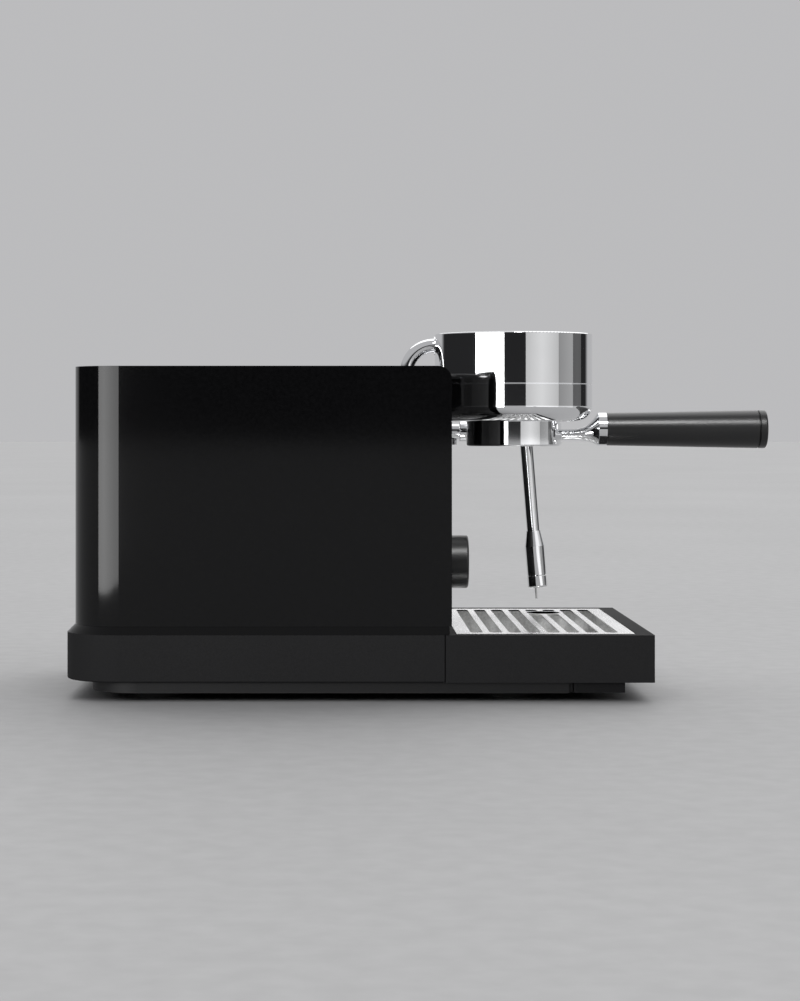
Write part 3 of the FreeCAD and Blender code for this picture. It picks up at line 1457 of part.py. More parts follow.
def tank_lid():
    front = X_DECK_REAR - LID_GAP
    rear = X_CASE_REAR + CASE_WALL + LID_GAP
    half = CASE_INSIDE - LID_GAP
    corner = CASE_CORNER_RADIUS - CASE_WALL - LID_GAP
    plate = slab(half, rear, front, corner, (Z_DECK - LID_THICKNESS, Z_DECK))
    rib_z = (Z_TANK_TOP + SLIDE_GAP, Z_DECK - LID_THICKNESS)
    rib_rear = X_TANK_REAR + TANK_WALL / 4
    rib_front = X_TANK_FRONT - TANK_WALL / 4
    rib_half = TANK_HALF - TANK_WALL / 4
    end_half = rib_half - TANK_CORNER

    def side_rib(y):
        x = (rib_rear + TANK_CORNER, rib_front - TANK_CORNER)
        return box(x, (y - LID_RIB / 2, y + LID_RIB / 2), rib_z)

    ribs = both_sides(side_rib, rib_half - LID_RIB / 2)
    for x in (rib_rear, rib_front - LID_RIB):
        ribs.append(box((x, x + LID_RIB), (-end_half, end_half), rib_z))
    notch_floor = point(front, 0, Z_DECK - LID_THICKNESS / 2)
    notch = rod(LID_NOTCH_WIDTH / 2, notch_floor, point(front, 0, Z_DECK))
    notch = notch.common(box(
        (front - LID_NOTCH_DEPTH, front + LID_NOTCH_WIDTH),
        (-LID_NOTCH_WIDTH, LID_NOTCH_WIDTH),
        (Z_DECK - LID_THICKNESS, Z_DECK),
    ))
    return joined([plate] + ribs).cut(notch)


def tank_seat():
    top = Z_TANK_FLOOR - SLIDE_GAP
    well = OUTLET_DIAMETER / 2 + SEAT_PLAY
    body = lathe([
        (0, Z_PLATEAU),
        (SEAT_DIAMETER / 2, Z_PLATEAU),
        (SEAT_DIAMETER / 2 - SEAT_TAPER, top),
        (well, top),
        (well, Z_PLATEAU + SEAT_FLOOR),
        (0, Z_PLATEAU + SEAT_FLOOR),
    ]).translated(point(X_SEAT, Y_PUMP, 0))
    start = point(X_SEAT + well + BARB_REACH, Y_PUMP, Z_HOSE)
    barb = rod(HOSE_RADIUS, start, point(X_BARB, Y_PUMP, Z_HOSE))
    return joined([body, barb])


def seat_ring():
    top = Z_TANK_FLOOR - SLIDE_GAP - EDGE_BREAK
    inner = OUTLET_DIAMETER / 2 + RUNNING_GAP
    outer = OUTLET_DIAMETER / 2 + SEAT_PLAY - CLOSE_GAP
    start = point(X_SEAT, Y_PUMP, top - SEAT_RING_HEIGHT)
    return ring(outer, inner, start, point(X_SEAT, Y_PUMP, top))


# Water circuit and electrics
def pump_body():
    x = (X_PUMP - PUMP_FRAME_DEPTH / 2, X_PUMP + PUMP_FRAME_DEPTH / 2)
    y = (Y_PUMP - PUMP_FRAME_WIDTH / 2, Y_PUMP + PUMP_FRAME_WIDTH / 2)
    frame_top = Z_PUMP + PUMP_FRAME_HEIGHT
    frame = rounded_block(x, y, (Z_PUMP, frame_top), PUMP_FRAME_ROUND, point(0, 0, 1))
    window = box(
        (x[0], x[1]),
        (y[0] + PUMP_FRAME_ROUND, y[1] - PUMP_FRAME_ROUND),
        (Z_PUMP + PUMP_FRAME_ROUND, frame_top - PUMP_FRAME_ROUND),
    )
    barrel_top = frame_top + PUMP_BARREL_LENGTH

    def stack(radius, bottom, top):
        return rod(radius, point(X_PUMP, Y_PUMP, bottom), point(X_PUMP, Y_PUMP, top))

    coil = stack(PUMP_COIL_DIAMETER / 2, Z_PUMP, frame_top)
    barrel = stack(PUMP_BARREL_DIAMETER / 2, Z_PUMP, barrel_top)
    outlet = stack(HOSE_RADIUS, Z_PUMP, Z_PUMP_TOP)
    inlet = stack(HOSE_RADIUS, Z_PUMP - PUMP_NOZZLE_LENGTH, frame_top)
    return joined([frame.cut(window), coil, barrel, outlet, inlet])


def pump_saddle():
    half_depth = PUMP_FRAME_DEPTH / 2
    half_width = PUMP_FRAME_WIDTH / 2
    plate = rounded_block(
        (X_PUMP - half_depth, X_PUMP + half_depth),
        (Y_PUMP - half_width, Y_PUMP + half_width),
        (Z_PUMP - PUMP_SADDLE, Z_PUMP),
        PUMP_FRAME_ROUND,
        point(0, 0, 1),
    )
    start = point(X_PUMP, Y_PUMP, Z_PUMP - PUMP_SADDLE)
    return plate.cut(rod(HOSE_RADIUS + SLIDE_GAP, start, point(X_PUMP, Y_PUMP, Z_PUMP)))


def pump_mounts():
    mounts = []
    for y in (Y_PUMP - PUMP_MOUNT_SPACING / 2, Y_PUMP + PUMP_MOUNT_SPACING / 2):
        start = point(X_PUMP, y, Z_FLOOR)
        mounts.append(rod(PUMP_MOUNT_DIAMETER / 2, start, point(X_PUMP, y, Z_PUMP - PUMP_SADDLE)))
    return Part.makeCompound(mounts)


def suction_hose():
    corners = [
        point(X_BARB, Y_PUMP, Z_HOSE),
        point(X_PUMP, Y_PUMP, Z_HOSE),
        point(X_PUMP, Y_PUMP, Z_PUMP - PUMP_NOZZLE_LENGTH),
    ]
    return piped(HOSE_RADIUS, corners, HOSE_BEND)


def pressure_hose():
    top = Z_PUMP_TOP + HOSE_LOOP_RISE
    corners = [
        point(X_PUMP, Y_PUMP, Z_PUMP_TOP),
        point(X_PUMP, Y_PUMP, top),
        point(X_PIPE, Y_PUMP, top),
        point(X_PIPE, Y_PUMP, Z_VALVE_PORT),
        point(X_PIPE, -VALVE_WIDTH / 2, Z_VALVE_PORT),
    ]
    return piped(HOSE_RADIUS, corners, HOSE_BEND)


def brew_valve():
    half = VALVE_WIDTH / 2
    bottom = Z_VALVE - VALVE_HEIGHT
    block = rounded_block(
        (X_PIPE - half, X_PIPE + half), (-half, half), (bottom, Z_VALVE), VALVE_CORNER, point(0, 0, 1)
    )
    coil_bottom = bottom - VALVE_COIL_LENGTH
    coil = rod(VALVE_COIL_DIAMETER / 2, point(X_PIPE, 0, coil_bottom), point(X_PIPE, 0, Z_VALVE))
    return joined([block, coil])


def steam_block():
    x = (X_BLOCK_FRONT - STEAM_BLOCK_DEPTH, X_BLOCK_FRONT)
    y = (Y_BLOCK, Y_BLOCK + STEAM_BLOCK_WIDTH)
    block = rounded_block(x, y, (Z_BLOCK, Z_BLOCK_TOP), STEAM_BLOCK_CORNER, point(0, 0, 1))
    pitch = STEAM_BLOCK_HEIGHT / (STEAM_FIN_COUNT + 1)
    grooves = []
    for index in range(STEAM_FIN_COUNT):
        z = Z_BLOCK + (index + 0.75) * pitch
        grooves.append(box((x[0], x[0] + STEAM_FIN_DEPTH), y, (z, z + pitch / 2)))
    return block.cut(grooves)


def block_legs():
    legs = []
    for x in (X_BLOCK_FRONT - BLOCK_LEG_INSET, X_BLOCK_FRONT - STEAM_BLOCK_DEPTH + BLOCK_LEG_INSET):
        for side in (BLOCK_LEG_INSET, STEAM_BLOCK_WIDTH - BLOCK_LEG_INSET):
            y = Y_BLOCK + side
            legs.append(rod(BLOCK_LEG_DIAMETER / 2, point(x, y, Z_FLOOR), point(x, y, Z_BLOCK)))
    return Part.makeCompound(legs)


def steam_feed_tube():
    start = point(X_PIPE, VALVE_WIDTH / 2, Z_VALVE_PORT)
    return rod(STEAM_TUBE_RADIUS, start, point(X_PIPE, Y_BLOCK, Z_VALVE_PORT))


def steam_tube():
    corners = [
        point(X_STEAM_TUBE, Y_WAND, Z_BLOCK_TOP),
        point(X_STEAM_TUBE, Y_WAND, Z_WAND),
        point(X_STUB_TAIL, Y_WAND, Z_WAND),
    ]
    return piped(STEAM_TUBE_RADIUS, corners, STEAM_TUBE_BEND)


def board_limits():
    right = -CASE_INSIDE + BOARD_SIDE_INSET + BOARD_WIDTH
    y = (right - BOARD_WIDTH, right)
    bottom = Z_FLOOR + BOARD_RISE
    return y, (bottom, bottom + BOARD_HEIGHT)


def control_board():
    y, z = board_limits()
    back = X_BULKHEAD_FRONT + SPACER_LENGTH
    front = back + BOARD_THICKNESS
    sheet = box((back, front), y, z)
    margin = 2 * SPACER_INSET
    relay_z = (z[0] + margin, z[0] + margin + RELAY_HEIGHT)
    relay = box((front, front + RELAY_DEPTH), (y[0] + margin, y[0] + margin + RELAY_WIDTH), relay_z)
    foot = point(front, y[1] - margin, relay_z[1])
    capacitor = rod(CAPACITOR_DIAMETER / 2, foot, foot + point(CAPACITOR_LENGTH, 0, 0))
    terminal_z = (z[1] - margin - TERMINAL_HEIGHT, z[1] - margin)
    terminal = box((front, front + TERMINAL_HEIGHT), (y[0] + margin, y[1] - margin), terminal_z)
    return joined([sheet, relay, capacitor, terminal])


def board_spacers():
    y, z = board_limits()
    spacers = []
    for across in (y[0] + SPACER_INSET, y[1] - SPACER_INSET):
        for level in (z[0] + SPACER_INSET, z[1] - SPACER_INSET):
            start = point(X_BULKHEAD_FRONT, across, level)
            spacers.append(rod(SPACER_DIAMETER / 2, start, start + point(SPACER_LENGTH, 0, 0)))
    return Part.makeCompound(spacers)


def mains_inlet():
    flange = inlet_block(0, 0, INLET_FLANGE)
    body = inlet_block(INLET_BODY_MARGIN, INLET_FLANGE, INLET_DEPTH)
    socket = inlet_block(INLET_SOCKET_MARGIN, 0, INLET_SOCKET_DEPTH)
    return joined([flange, body]).cut(socket)


def inlet_pins():
    z_middle = (Z_BASE + Z_RIM) / 2
    x = (X_BASE_REAR + INLET_SOCKET_DEPTH - PIN_LENGTH, X_BASE_REAR + INLET_SOCKET_DEPTH)
    pins = []
    for column, row in ((-1, -1), (0, 1), (1, -1)):
        y = INLET_SIDE_OFFSET + column * PIN_PITCH
        z = z_middle + row * PIN_HEIGHT / 2
        across = (y - PIN_WIDTH / 2, y + PIN_WIDTH / 2)
        pins.append(box(x, across, (z - PIN_HEIGHT / 2, z + PIN_HEIGHT / 2)))
    return Part.makeCompound(pins)


PIECES = [
    base_housing, base_plinth, plinth_screws, rubber_feet, tray_stop,
    casing_wrap, front_fascia, chassis_plate,
    group_housing, group_cover, brew_boiler, boiler_heater, group_gasket, shower_screen,
    screen_screw, group_backing_plate, group_bolts,
    feed_pipe, pipe_collar, pipe_grommet,
    portafilter_body, filter_basket, basket_clip, handle_grip, handle_cap, handle_rod,
    wand_stub, wand_lock_screw, stub_nut, wand_nut, wand_tube, wand_sleeve, wand_nozzle, wand_needle,
    selector_knob, knob_shaft, selector_switch,
    drip_tray, drip_pan, tray_grid,
    water_tank, tank_lid, tank_seat, seat_ring,
    pump_body, pump_saddle, pump_mounts, suction_hose, pressure_hose, brew_valve,
    steam_block, block_legs, steam_feed_tube, steam_tube,
    control_board, board_spacers, mains_inlet, inlet_pins,
]


def main():
    os.makedirs("parts", exist_ok=True)
    for make in PIECES:
        piece = make().translated(point(-X_ORIGIN, 0, 0))
        piece.exportStep(os.path.join("parts", make.__name__ + ".step"))


if __name__ == "__main__":
    main()
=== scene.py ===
import bmesh
import bpy
import json
import math
from mathutils import Matrix, Vector


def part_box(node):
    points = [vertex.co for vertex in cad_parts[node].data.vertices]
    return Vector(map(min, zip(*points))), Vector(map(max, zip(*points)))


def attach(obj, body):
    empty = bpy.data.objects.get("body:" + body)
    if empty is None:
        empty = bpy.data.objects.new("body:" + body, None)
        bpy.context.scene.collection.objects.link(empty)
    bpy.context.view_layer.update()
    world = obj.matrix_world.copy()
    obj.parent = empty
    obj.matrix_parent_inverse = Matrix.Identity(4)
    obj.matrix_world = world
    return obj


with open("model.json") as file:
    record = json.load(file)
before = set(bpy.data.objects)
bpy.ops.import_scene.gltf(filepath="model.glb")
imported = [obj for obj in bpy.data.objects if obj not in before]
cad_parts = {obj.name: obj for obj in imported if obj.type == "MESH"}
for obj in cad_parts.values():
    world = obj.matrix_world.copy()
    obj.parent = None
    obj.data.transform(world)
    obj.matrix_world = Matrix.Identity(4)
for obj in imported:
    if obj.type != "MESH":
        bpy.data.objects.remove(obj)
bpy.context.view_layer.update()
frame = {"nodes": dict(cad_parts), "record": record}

# Camera: side view, level, with the photograph's framing
CAMERA_PLACE = (-0.0598, -1.705, 0.184)
CAMERA_LENS = 83.58
CAMERA_SHIFT = (0.0579, -0.0689)

# Light: a soft sun from behind, in a studio that is dark only low down in front
SUN_STRENGTH = 1.3
SUN_ANGLE = math.radians(70)
SUN_TILT = math.radians(-40)
SUN_ROLL = math.radians(8)
STUDIO_DARK = (0.020, 0.020, 0.021, 1)
STUDIO_PALE = (0.50, 0.50, 0.51, 1)
# The studio turns pale between these shares of a direction that point backward or upward
PALE_BEHIND = (0.56, 0.72)
PALE_OVERHEAD = (0.13, 0.36)

# Softboxes: place, aim, width and height in metres, and power in watts
SOFTBOX_SPREAD = math.radians(120)
SOFTBOXES = {
    "left_softbox": ((-0.701, -0.997, 0.178), (-0.030, -0.256, 0.178), (0.963, 0.345), 3.5),
    "right_softbox": ((0.947, -1.093, 0.33), (0.334, -0.303, 0.33), (1.317, 0.62), 0.80),
    "side_softbox": ((1.472, -0.336, 0.33), (0.472, -0.323, 0.33), (0.706, 0.62), 0.21),
    "top_softbox": ((0.260, -0.970, 1.19), (0.190, 0.0, 0.186), (0.50, 0.25), 4.5),
    "back_softbox": ((1.441, 0.247, 0.33), (0.111, -0.036, 0.33), (0.48, 0.62), 0.041),
}
FLOOR_SIZE = 40.0

# Perforation under the filter basket, drawn as flat discs of painted shade
HOLE_PITCH = 0.0021
HOLE_RADIUS = 0.00042
HOLE_FIELD = 0.0255
HOLE_SIDES = 8

# Cross recess in the base screws, drawn as flat dark bars of painted shade
SCREW_HEAD_RADIUS = 0.004
RECESS_REACH = 0.0022
RECESS_WIDTH = 0.0009

# How far the holes and recesses stand proud of the surface that they mark
PROUD = 0.00003

# Faces picked by the upward share of their normal: its middle and how far it may differ
UPRIGHT = (0.0, 0.3)
LEANING = (0.65, 0.3)

# Part of a noise's range over which tint and roughness change
NOISE_RANGE = (0.3, 0.7)

# Sockets of the mix node, whose names repeat for each kind of value
MIX_FACTOR = 0
MIX_NUMBERS = (2, 3)
MIX_COLOURS = (6, 7)
MIXED_NUMBER = 0
MIXED_COLOUR = 2

# The drain hole lies under the wand's nozzle; the grid's upright faces beyond its middle take a
# painted shade, standing in for the shade inside the hole
DRAIN_MIDDLE = sum(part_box("wand_nozzle"), Vector()).y / 2

# Opaque finishes of the record's slots
FINISHES = {
    "gloss_black": dict(
        dark=(0.0020, 0.0020, 0.0022), pale=(0.0032, 0.0032, 0.0035), rough=(0.045, 0.085),
        grain=420.0, depth=0.00002, patch=5.0, specular=0.25, strength=0.06),
    "satin_grey": dict(
        dark=(0.0090, 0.0090, 0.0095), pale=(0.0132, 0.0132, 0.0138), rough=(0.72, 0.80),
        # Faces that lean upward take a painted shade, darker than the rest, and a lower
        # roughness
        grain=1500.0, depth=0.00006, specular=0.14, painted_shade_bevels=((0.002, 0.002, 0.0022), 0.08)),
    "plinth_grey": dict(
        dark=(0.0075, 0.0075, 0.008), pale=(0.0110, 0.0110, 0.0115), rough=(0.5, 0.6),
        grain=1200.0, depth=0.00008, specular=0.3),
    "chrome": dict(
        dark=(0.80, 0.805, 0.815), pale=(0.84, 0.845, 0.855), rough=(0.02, 0.05),
        grain=30.0, depth=0.00001, patch=16.0, metallic=1.0, strength=0.02),
    "grid_steel": dict(
        dark=(0.82, 0.82, 0.815), pale=(0.92, 0.92, 0.915), rough=(0.21, 0.27),
        grain=900.0, depth=0.00003, metallic=1.0, stretch=(1, 0.03, 1), strength=0.3,
        # Painted shade on upright faces beyond the drain's middle, standing in for the shade
        # inside the drain hole
        painted_shade_walls=((0.012, 0.012, 0.0125), DRAIN_MIDDLE)),
    "pan_steel": dict(
        dark=(0.58, 0.58, 0.575), pale=(0.80, 0.80, 0.795), rough=(0.50, 0.62),
        grain=600.0, depth=0.00003, metallic=0.1, stretch=(1, 0.12, 1), strength=0.3),
    "plain_steel": dict(
        dark=(0.58, 0.58, 0.575), pale=(0.72, 0.72, 0.715), rough=(0.34, 0.46),
        grain=700.0, depth=0.00003, metallic=1.0, stretch=(0.05, 1, 1), strength=0.3),
    "screw_steel": dict(
        dark=(0.42, 0.42, 0.43), pale=(0.62, 0.62, 0.63), rough=(0.22, 0.38),
        grain=900.0, depth=0.00003, metallic=1.0),
    "matte_black": dict(
        dark=(0.0020, 0.0020, 0.0022), pale=(0.0045, 0.0045, 0.0047), rough=(0.30, 0.38),
        grain=1100.0, depth=0.00012, specular=0.55, strength=0.6),
    "rubber": dict(
        dark=(0.010, 0.010, 0.010), pale=(0.018, 0.018, 0.018), rough=(0.7, 0.85),
        grain=1400.0, depth=0.0001, specular=0.3, strength=0.5),
    "black_plastic": dict(
        dark=(0.008, 0.008, 0.0085), pale=(0.013, 0.013, 0.0135), rough=(0.30, 0.40),
        grain=1800.0, depth=0.00005, specular=0.45),
    "hose": dict(
        dark=(0.52, 0.50, 0.45), pale=(0.64, 0.62, 0.57), rough=(0.35, 0.5),
        grain=300.0, depth=0.00005),
    "brass": dict(
        dark=(0.56, 0.39, 0.16), pale=(0.72, 0.53, 0.25), rough=(0.25, 0.40),
        grain=600.0, depth=0.00003, metallic=1.0),
    "aluminium": dict(
        dark=(0.50, 0.51, 0.52), pale=(0.66, 0.67, 0.68), rough=(0.40, 0.55),
        grain=1100.0, depth=0.0001, metallic=1.0, strength=0.6),
}

# Finishes of the tank, the board, the painted shade in the small holes, and the floor
CLEAR_TANK = dict(
    dark=(0.50, 0.54, 0.58), pale=(0.58, 0.62, 0.66), rough=(0.08, 0.16),
    patch=14.0, ripple=60.0, depth=0.0004, strength=0.15, transmission=0.85, ior=1.49)
BOARD_GREEN = dict(
    dark=(0.012, 0.075, 0.030), pale=(0.016, 0.090, 0.036), track=(0.05, 0.17, 0.07),
    tracks=160.0, track_width=0.05, rough=(0.25, 0.4), patch=90.0)
HOLE_PAINTED_SHADE = dict(
    dark=(0.002, 0.002, 0.002), pale=(0.004, 0.004, 0.004), rough=(0.7, 0.9),
    grain=3000.0, depth=0.00002, specular=0.1)
FLOOR_PALE = dict(
    dark=(0.555, 0.555, 0.555), pale=(0.595, 0.595, 0.595), rough=(0.55, 0.7),
    grain=60.0, depth=0.0001, patch=1.5, specular=0.1, strength=0.1)


# Shader building
def new_shader(name):
    material = bpy.data.materials.new(name)
    material.use_nodes = True
    tree = material.node_tree
    tree.nodes.clear()
    output = tree.nodes.new("ShaderNodeOutputMaterial")
    surface = tree.nodes.new("ShaderNodeBsdfPrincipled")
    tree.links.new(surface.outputs["BSDF"], output.inputs["Surface"])
    return material, tree, surface


def object_place(tree, stretch=(1, 1, 1)):
    """Place on the object in metres, stretched along each axis."""
    source = tree.nodes.new("ShaderNodeTexCoord")
    mapping = tree.nodes.new("ShaderNodeMapping")
    mapping.inputs["Scale"].default_value = stretch
    tree.links.new(source.outputs["Object"], mapping.inputs["Vector"])
    return mapping.outputs["Vector"]


def axes(tree, vector):
    """Outputs X, Y and Z of a vector."""
    node = tree.nodes.new("ShaderNodeSeparateXYZ")
    tree.links.new(vector, node.inputs["Vector"])
    return node.outputs


def calculate(tree, operation, *values):
    """Result of a calculation on outputs of other nodes and plain numbers."""
    node = tree.nodes.new("ShaderNodeMath")
    node.operation = operation
    for socket, value in zip(node.inputs, values):
        if isinstance(value, float):
            socket.default_value = value
        else:
            tree.links.new(value, socket)
    return node.outputs["Value"]


def noise(tree, place, scale, detail=3.0):
    node = tree.nodes.new("ShaderNodeTexNoise")
    node.inputs["Scale"].default_value = scale
    node.inputs["Detail"].default_value = detail
    tree.links.new(place, node.inputs["Vector"])
    return node.outputs["Fac"]


def tint(tree, value, dark, pale):
    """Colour between two shades, led by a noise value."""
    node = tree.nodes.new("ShaderNodeValToRGB")
    for element, position, shade in zip(node.color_ramp.elements, NOISE_RANGE, (dark, pale)):
        element.position = position
        element.color = (*shade, 1)
    tree.links.new(value, node.inputs["Fac"])
    return node.outputs["Color"]


def spread(tree, value, low, high, limits=NOISE_RANGE):
    """Number from low to high, as a value goes from one limit to the other."""
    node = tree.nodes.new("ShaderNodeMapRange")
    node.inputs["From Min"].default_value, node.inputs["From Max"].default_value = limits
    node.inputs["To Min"].default_value = low
    node.inputs["To Max"].default_value = high
    tree.links.new(value, node.inputs["Value"])
    return node.outputs["Result"]


def relief(tree, surface, value, depth, strength):
    node = tree.nodes.new("ShaderNodeBump")
    node.inputs["Distance"].default_value = depth
    node.inputs["Strength"].default_value = strength
    tree.links.new(value, node.inputs["Height"])
    tree.links.new(node.outputs["Normal"], surface.inputs["Normal"])


def facing(tree, middle, reach):
    """One on faces whose upward share lies within reach of the middle, nought elsewhere."""
    source = tree.nodes.new("ShaderNodeNewGeometry")
    upward = axes(tree, source.outputs["True Normal"])["Z"]
    return calculate(tree, "COMPARE", upward, middle, reach)


def beyond(tree, y):
    """One on places further along Y, nought elsewhere."""
    return calculate(tree, "GREATER_THAN", axes(tree, object_place(tree))["Y"], y)


def recolour(tree, mask, colour, shade):
    """Shade in place of the colour where the mask is one."""
    mix = tree.nodes.new("ShaderNodeMix")
    mix.data_type = "RGBA"
    first, second = (mix.inputs[index] for index in MIX_COLOURS)
    tree.links.new(mask, mix.inputs[MIX_FACTOR])
    tree.links.new(colour, first)
    second.default_value = (*shade, 1)
    return mix.outputs[MIXED_COLOUR]


def resurface(tree, mask, rough, level):
    """Another roughness where the mask is one."""
    mix = tree.nodes.new("ShaderNodeMix")
    first, second = (mix.inputs[index] for index in MIX_NUMBERS)
    tree.links.new(mask, mix.inputs[MIX_FACTOR])
    tree.links.new(rough, first)
    second.default_value = level
    return mix.outputs[MIXED_NUMBER]


# Finishes
def opaque_finish(name, dark, pale, rough, grain, depth, patch=9.0, metallic=0.0, specular=0.5,
                  stretch=(1, 1, 1), strength=0.4, painted_shade_walls=None, painted_shade_bevels=None):
    """Patchy tint and roughness, with a fine grain in relief.

    Grain and patch are the noises' scales, and depth is the grain's, in metres.
    Walls is the painted shade of upright faces, standing in for the shade inside the drain hole,
    and the place along Y from which they take it.
    Bevels is the painted shade and the roughness of faces that lean upward: a darker tint
    standing in for the shade on them, and a lower roughness.
    """
    material, tree, surface = new_shader(name)
    patches = noise(tree, object_place(tree), patch)
    grains = noise(tree, object_place(tree, stretch), grain, 2.0)
    colour = tint(tree, grains, dark, pale)
    roughness = spread(tree, patches, *rough)
    if painted_shade_walls:
        shade, start = painted_shade_walls
        # Painted shade: upright faces beyond the drain's middle are darkened, standing in for
        # the shade inside the drain hole
        painted_shade_mask = calculate(tree, "MULTIPLY", facing(tree, *UPRIGHT), beyond(tree, start))
        colour = recolour(tree, painted_shade_mask, colour, shade)
    if painted_shade_bevels:
        # Painted shade: faces that lean upward take a darker tint, and their own roughness
        shade, level = painted_shade_bevels
        lean = facing(tree, *LEANING)
        colour = recolour(tree, lean, colour, shade)
        roughness = resurface(tree, lean, roughness, level)
    tree.links.new(colour, surface.inputs["Base Color"])
    tree.links.new(roughness, surface.inputs["Roughness"])
    relief(tree, surface, grains, depth, strength)
    surface.inputs["Metallic"].default_value = metallic
    surface.inputs["Specular IOR Level"].default_value = specular
    return material


def clear_finish(name, dark, pale, rough, patch, ripple, depth, strength, transmission, ior):
    """Smoky clear plastic with a slightly uneven moulded skin."""
    material, tree, surface = new_shader(name)
    place = object_place(tree)
    patches = noise(tree, place, patch)
    tree.links.new(tint(tree, patches, dark, pale), surface.inputs["Base Color"])
    tree.links.new(spread(tree, patches, *rough), surface.inputs["Roughness"])
    relief(tree, surface, noise(tree, place, ripple), depth, strength)
    surface.inputs["Transmission Weight"].default_value = transmission
    surface.inputs["IOR"].default_value = ior
    return material


def board_finish(name, dark, pale, track, tracks, track_width, rough, patch):
    """Green board with paler copper tracks under the varnish."""
    material, tree, surface = new_shader(name)
    place = object_place(tree)
    bricks = tree.nodes.new("ShaderNodeTexBrick")
    bricks.inputs["Scale"].default_value = tracks
    bricks.inputs["Mortar Size"].default_value = track_width
    bricks.inputs["Color1"].default_value = (*dark, 1)
    bricks.inputs["Color2"].default_value = (*pale, 1)
    bricks.inputs["Mortar"].default_value = (*track, 1)
    tree.links.new(place, bricks.inputs["Vector"])
    tree.links.new(bricks.outputs["Color"], surface.inputs["Base Color"])
    roughness = spread(tree, noise(tree, place, patch), *rough)
    tree.links.new(roughness, surface.inputs["Roughness"])
    return material


def dress_nodes():
    """Give each CAD node the finish of its slot in the record."""
    finishes = {name: opaque_finish(name, **values) for name, values in FINISHES.items()}
    finishes["clear_tank"] = clear_finish("clear_tank", **CLEAR_TANK)
    finishes["board_green"] = board_finish("board_green", **BOARD_GREEN)
    for part in frame["record"]["subparts"]:
        node = frame["nodes"][part["node"]]
        for slot in node.material_slots:
            slot.material = finishes[part["material_slot"]]


# Pieces
def add_object(name, data):
    thing = bpy.data.objects.new(name, data)
    bpy.context.scene.collection.objects.link(thing)
    return thing


def mesh_object(name, mesh, material):
    data = bpy.data.meshes.new(name)
    mesh.to_mesh(data)
    mesh.free()
    data.materials.append(material)
    return add_object(name, data)


def hole_places(radius, pitch):
    """Places of a hexagonal field of holes inside a circle."""
    row_pitch = pitch * math.sqrt(3) / 2
    rows = int(radius / row_pitch)
    columns = int(radius / pitch) + 1
    places = []
    for row in range(-rows, rows + 1):
        y = row * row_pitch
        shift = pitch / 2 if row % 2 else 0.0
        for column in range(-columns, columns + 1):
            x = column * pitch + shift
            if math.hypot(x, y) < radius:
                places.append((x, y))
    return places


def basket_holes(material):
    """Perforation on the underside of the filter basket, drawn as flat dark discs of painted
    shade.
    """
    low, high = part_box("filter_basket")
    middle = (low + high) / 2
    downward = Matrix.Rotation(math.pi, 4, "X")
    mesh = bmesh.new()
    for x, y in hole_places(HOLE_FIELD, HOLE_PITCH):
        spot = Matrix.Translation((middle.x + x, middle.y + y, low.z - PROUD))
        bmesh.ops.create_circle(
            mesh, cap_ends=True, radius=HOLE_RADIUS, segments=HOLE_SIDES, matrix=spot @ downward)
    piece = mesh_object("basket_holes", mesh, material)
    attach(piece, "portafilter")


def screw_recesses(material):
    """Cross recess in the head of each base screw, drawn as flat dark bars of painted shade."""
    low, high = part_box("plinth_screws")
    bars = ((2 * RECESS_REACH, RECESS_WIDTH), (RECESS_WIDTH, 2 * RECESS_REACH))
    mesh = bmesh.new()
    for x in (low.x + SCREW_HEAD_RADIUS, high.x - SCREW_HEAD_RADIUS):
        for y in (low.y + SCREW_HEAD_RADIUS, high.y - SCREW_HEAD_RADIUS):
            spot = Matrix.Translation((x, y, low.z))
            for bar in bars:
                size = Matrix.Diagonal((*bar, 2 * PROUD, 1))
                bmesh.ops.create_cube(mesh, size=1.0, matrix=spot @ size)
    piece = mesh_object("screw_recesses", mesh, material)
    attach(piece, "machine")


# Stage
def make_floor():
    mesh = bmesh.new()
    bmesh.ops.create_grid(mesh, x_segments=1, y_segments=1, size=FLOOR_SIZE)
    floor = mesh_object("floor", mesh, opaque_finish("floor_pale", **FLOOR_PALE))
    return floor


def unlit_by_softboxes(floor):
    """Set that keeps the softboxes off the floor, so that the floor is even all round."""
    spared = bpy.data.collections.new("spared")
    spared.objects.link(floor)
    spared.collection_objects[0].light_linking.link_state = "EXCLUDE"
    return spared


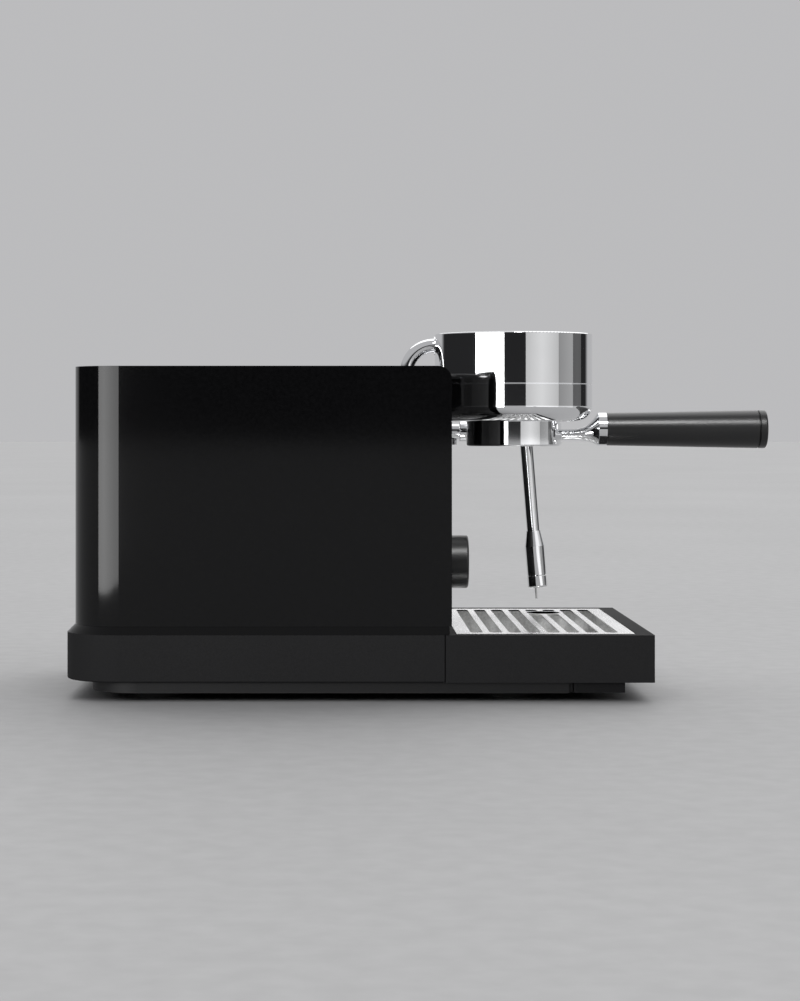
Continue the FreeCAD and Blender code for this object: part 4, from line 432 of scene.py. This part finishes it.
def softbox(name, place, aim, size, power, spared):
    data = bpy.data.lights.new(name, "AREA")
    data.shape = "RECTANGLE"
    data.size, data.size_y = size
    data.energy = power
    data.spread = SOFTBOX_SPREAD
    lamp = add_object(name, data)
    lamp.location = place
    lamp.rotation_euler = (Vector(aim) - Vector(place)).to_track_quat("-Z", "Y").to_euler()
    lamp.visible_camera = False
    lamp.light_linking.receiver_collection = spared


def light_studio(spared):
    data = bpy.data.lights.new("sun", "SUN")
    data.energy = SUN_STRENGTH
    data.angle = SUN_ANGLE
    add_object("sun", data).rotation_euler = (SUN_TILT, SUN_ROLL, 0)
    for name, values in SOFTBOXES.items():
        softbox(name, *values, spared)


def light_world():
    """World that is pale behind the object and overhead, and dark low down in front of it."""
    world = bpy.data.worlds.new("studio")
    world.use_nodes = True
    tree = world.node_tree
    source = tree.nodes.new("ShaderNodeTexCoord")
    direction = axes(tree, source.outputs["Generated"])
    behind = spread(tree, direction["Y"], 0.0, 1.0, PALE_BEHIND)
    overhead = spread(tree, direction["Z"], 0.0, 1.0, PALE_OVERHEAD)
    ramp = tree.nodes.new("ShaderNodeValToRGB")
    ramp.color_ramp.interpolation = "EASE"
    ramp.color_ramp.elements[0].color = STUDIO_DARK
    ramp.color_ramp.elements[1].color = STUDIO_PALE
    tree.links.new(calculate(tree, "MAXIMUM", behind, overhead), ramp.inputs["Fac"])
    tree.links.new(ramp.outputs["Color"], tree.nodes["Background"].inputs["Color"])
    bpy.context.scene.world = world


def place_camera():
    data = bpy.data.cameras.new("camera")
    data.lens = CAMERA_LENS
    data.shift_x, data.shift_y = CAMERA_SHIFT
    camera = add_object("camera", data)
    camera.location = CAMERA_PLACE
    camera.rotation_euler = (math.pi / 2, 0, 0)
    bpy.context.scene.camera = camera


place_camera()
dress_nodes()
# Flat dark marks of painted shade stand in for the shade inside the basket's holes and the
# screws' recesses
hole_painted_shade = opaque_finish("hole_painted_shade", **HOLE_PAINTED_SHADE)
basket_holes(hole_painted_shade)
screw_recesses(hole_painted_shade)
light_studio(unlit_by_softboxes(make_floor()))
light_world()
bpy.context.scene.view_settings.view_transform = "Standard"
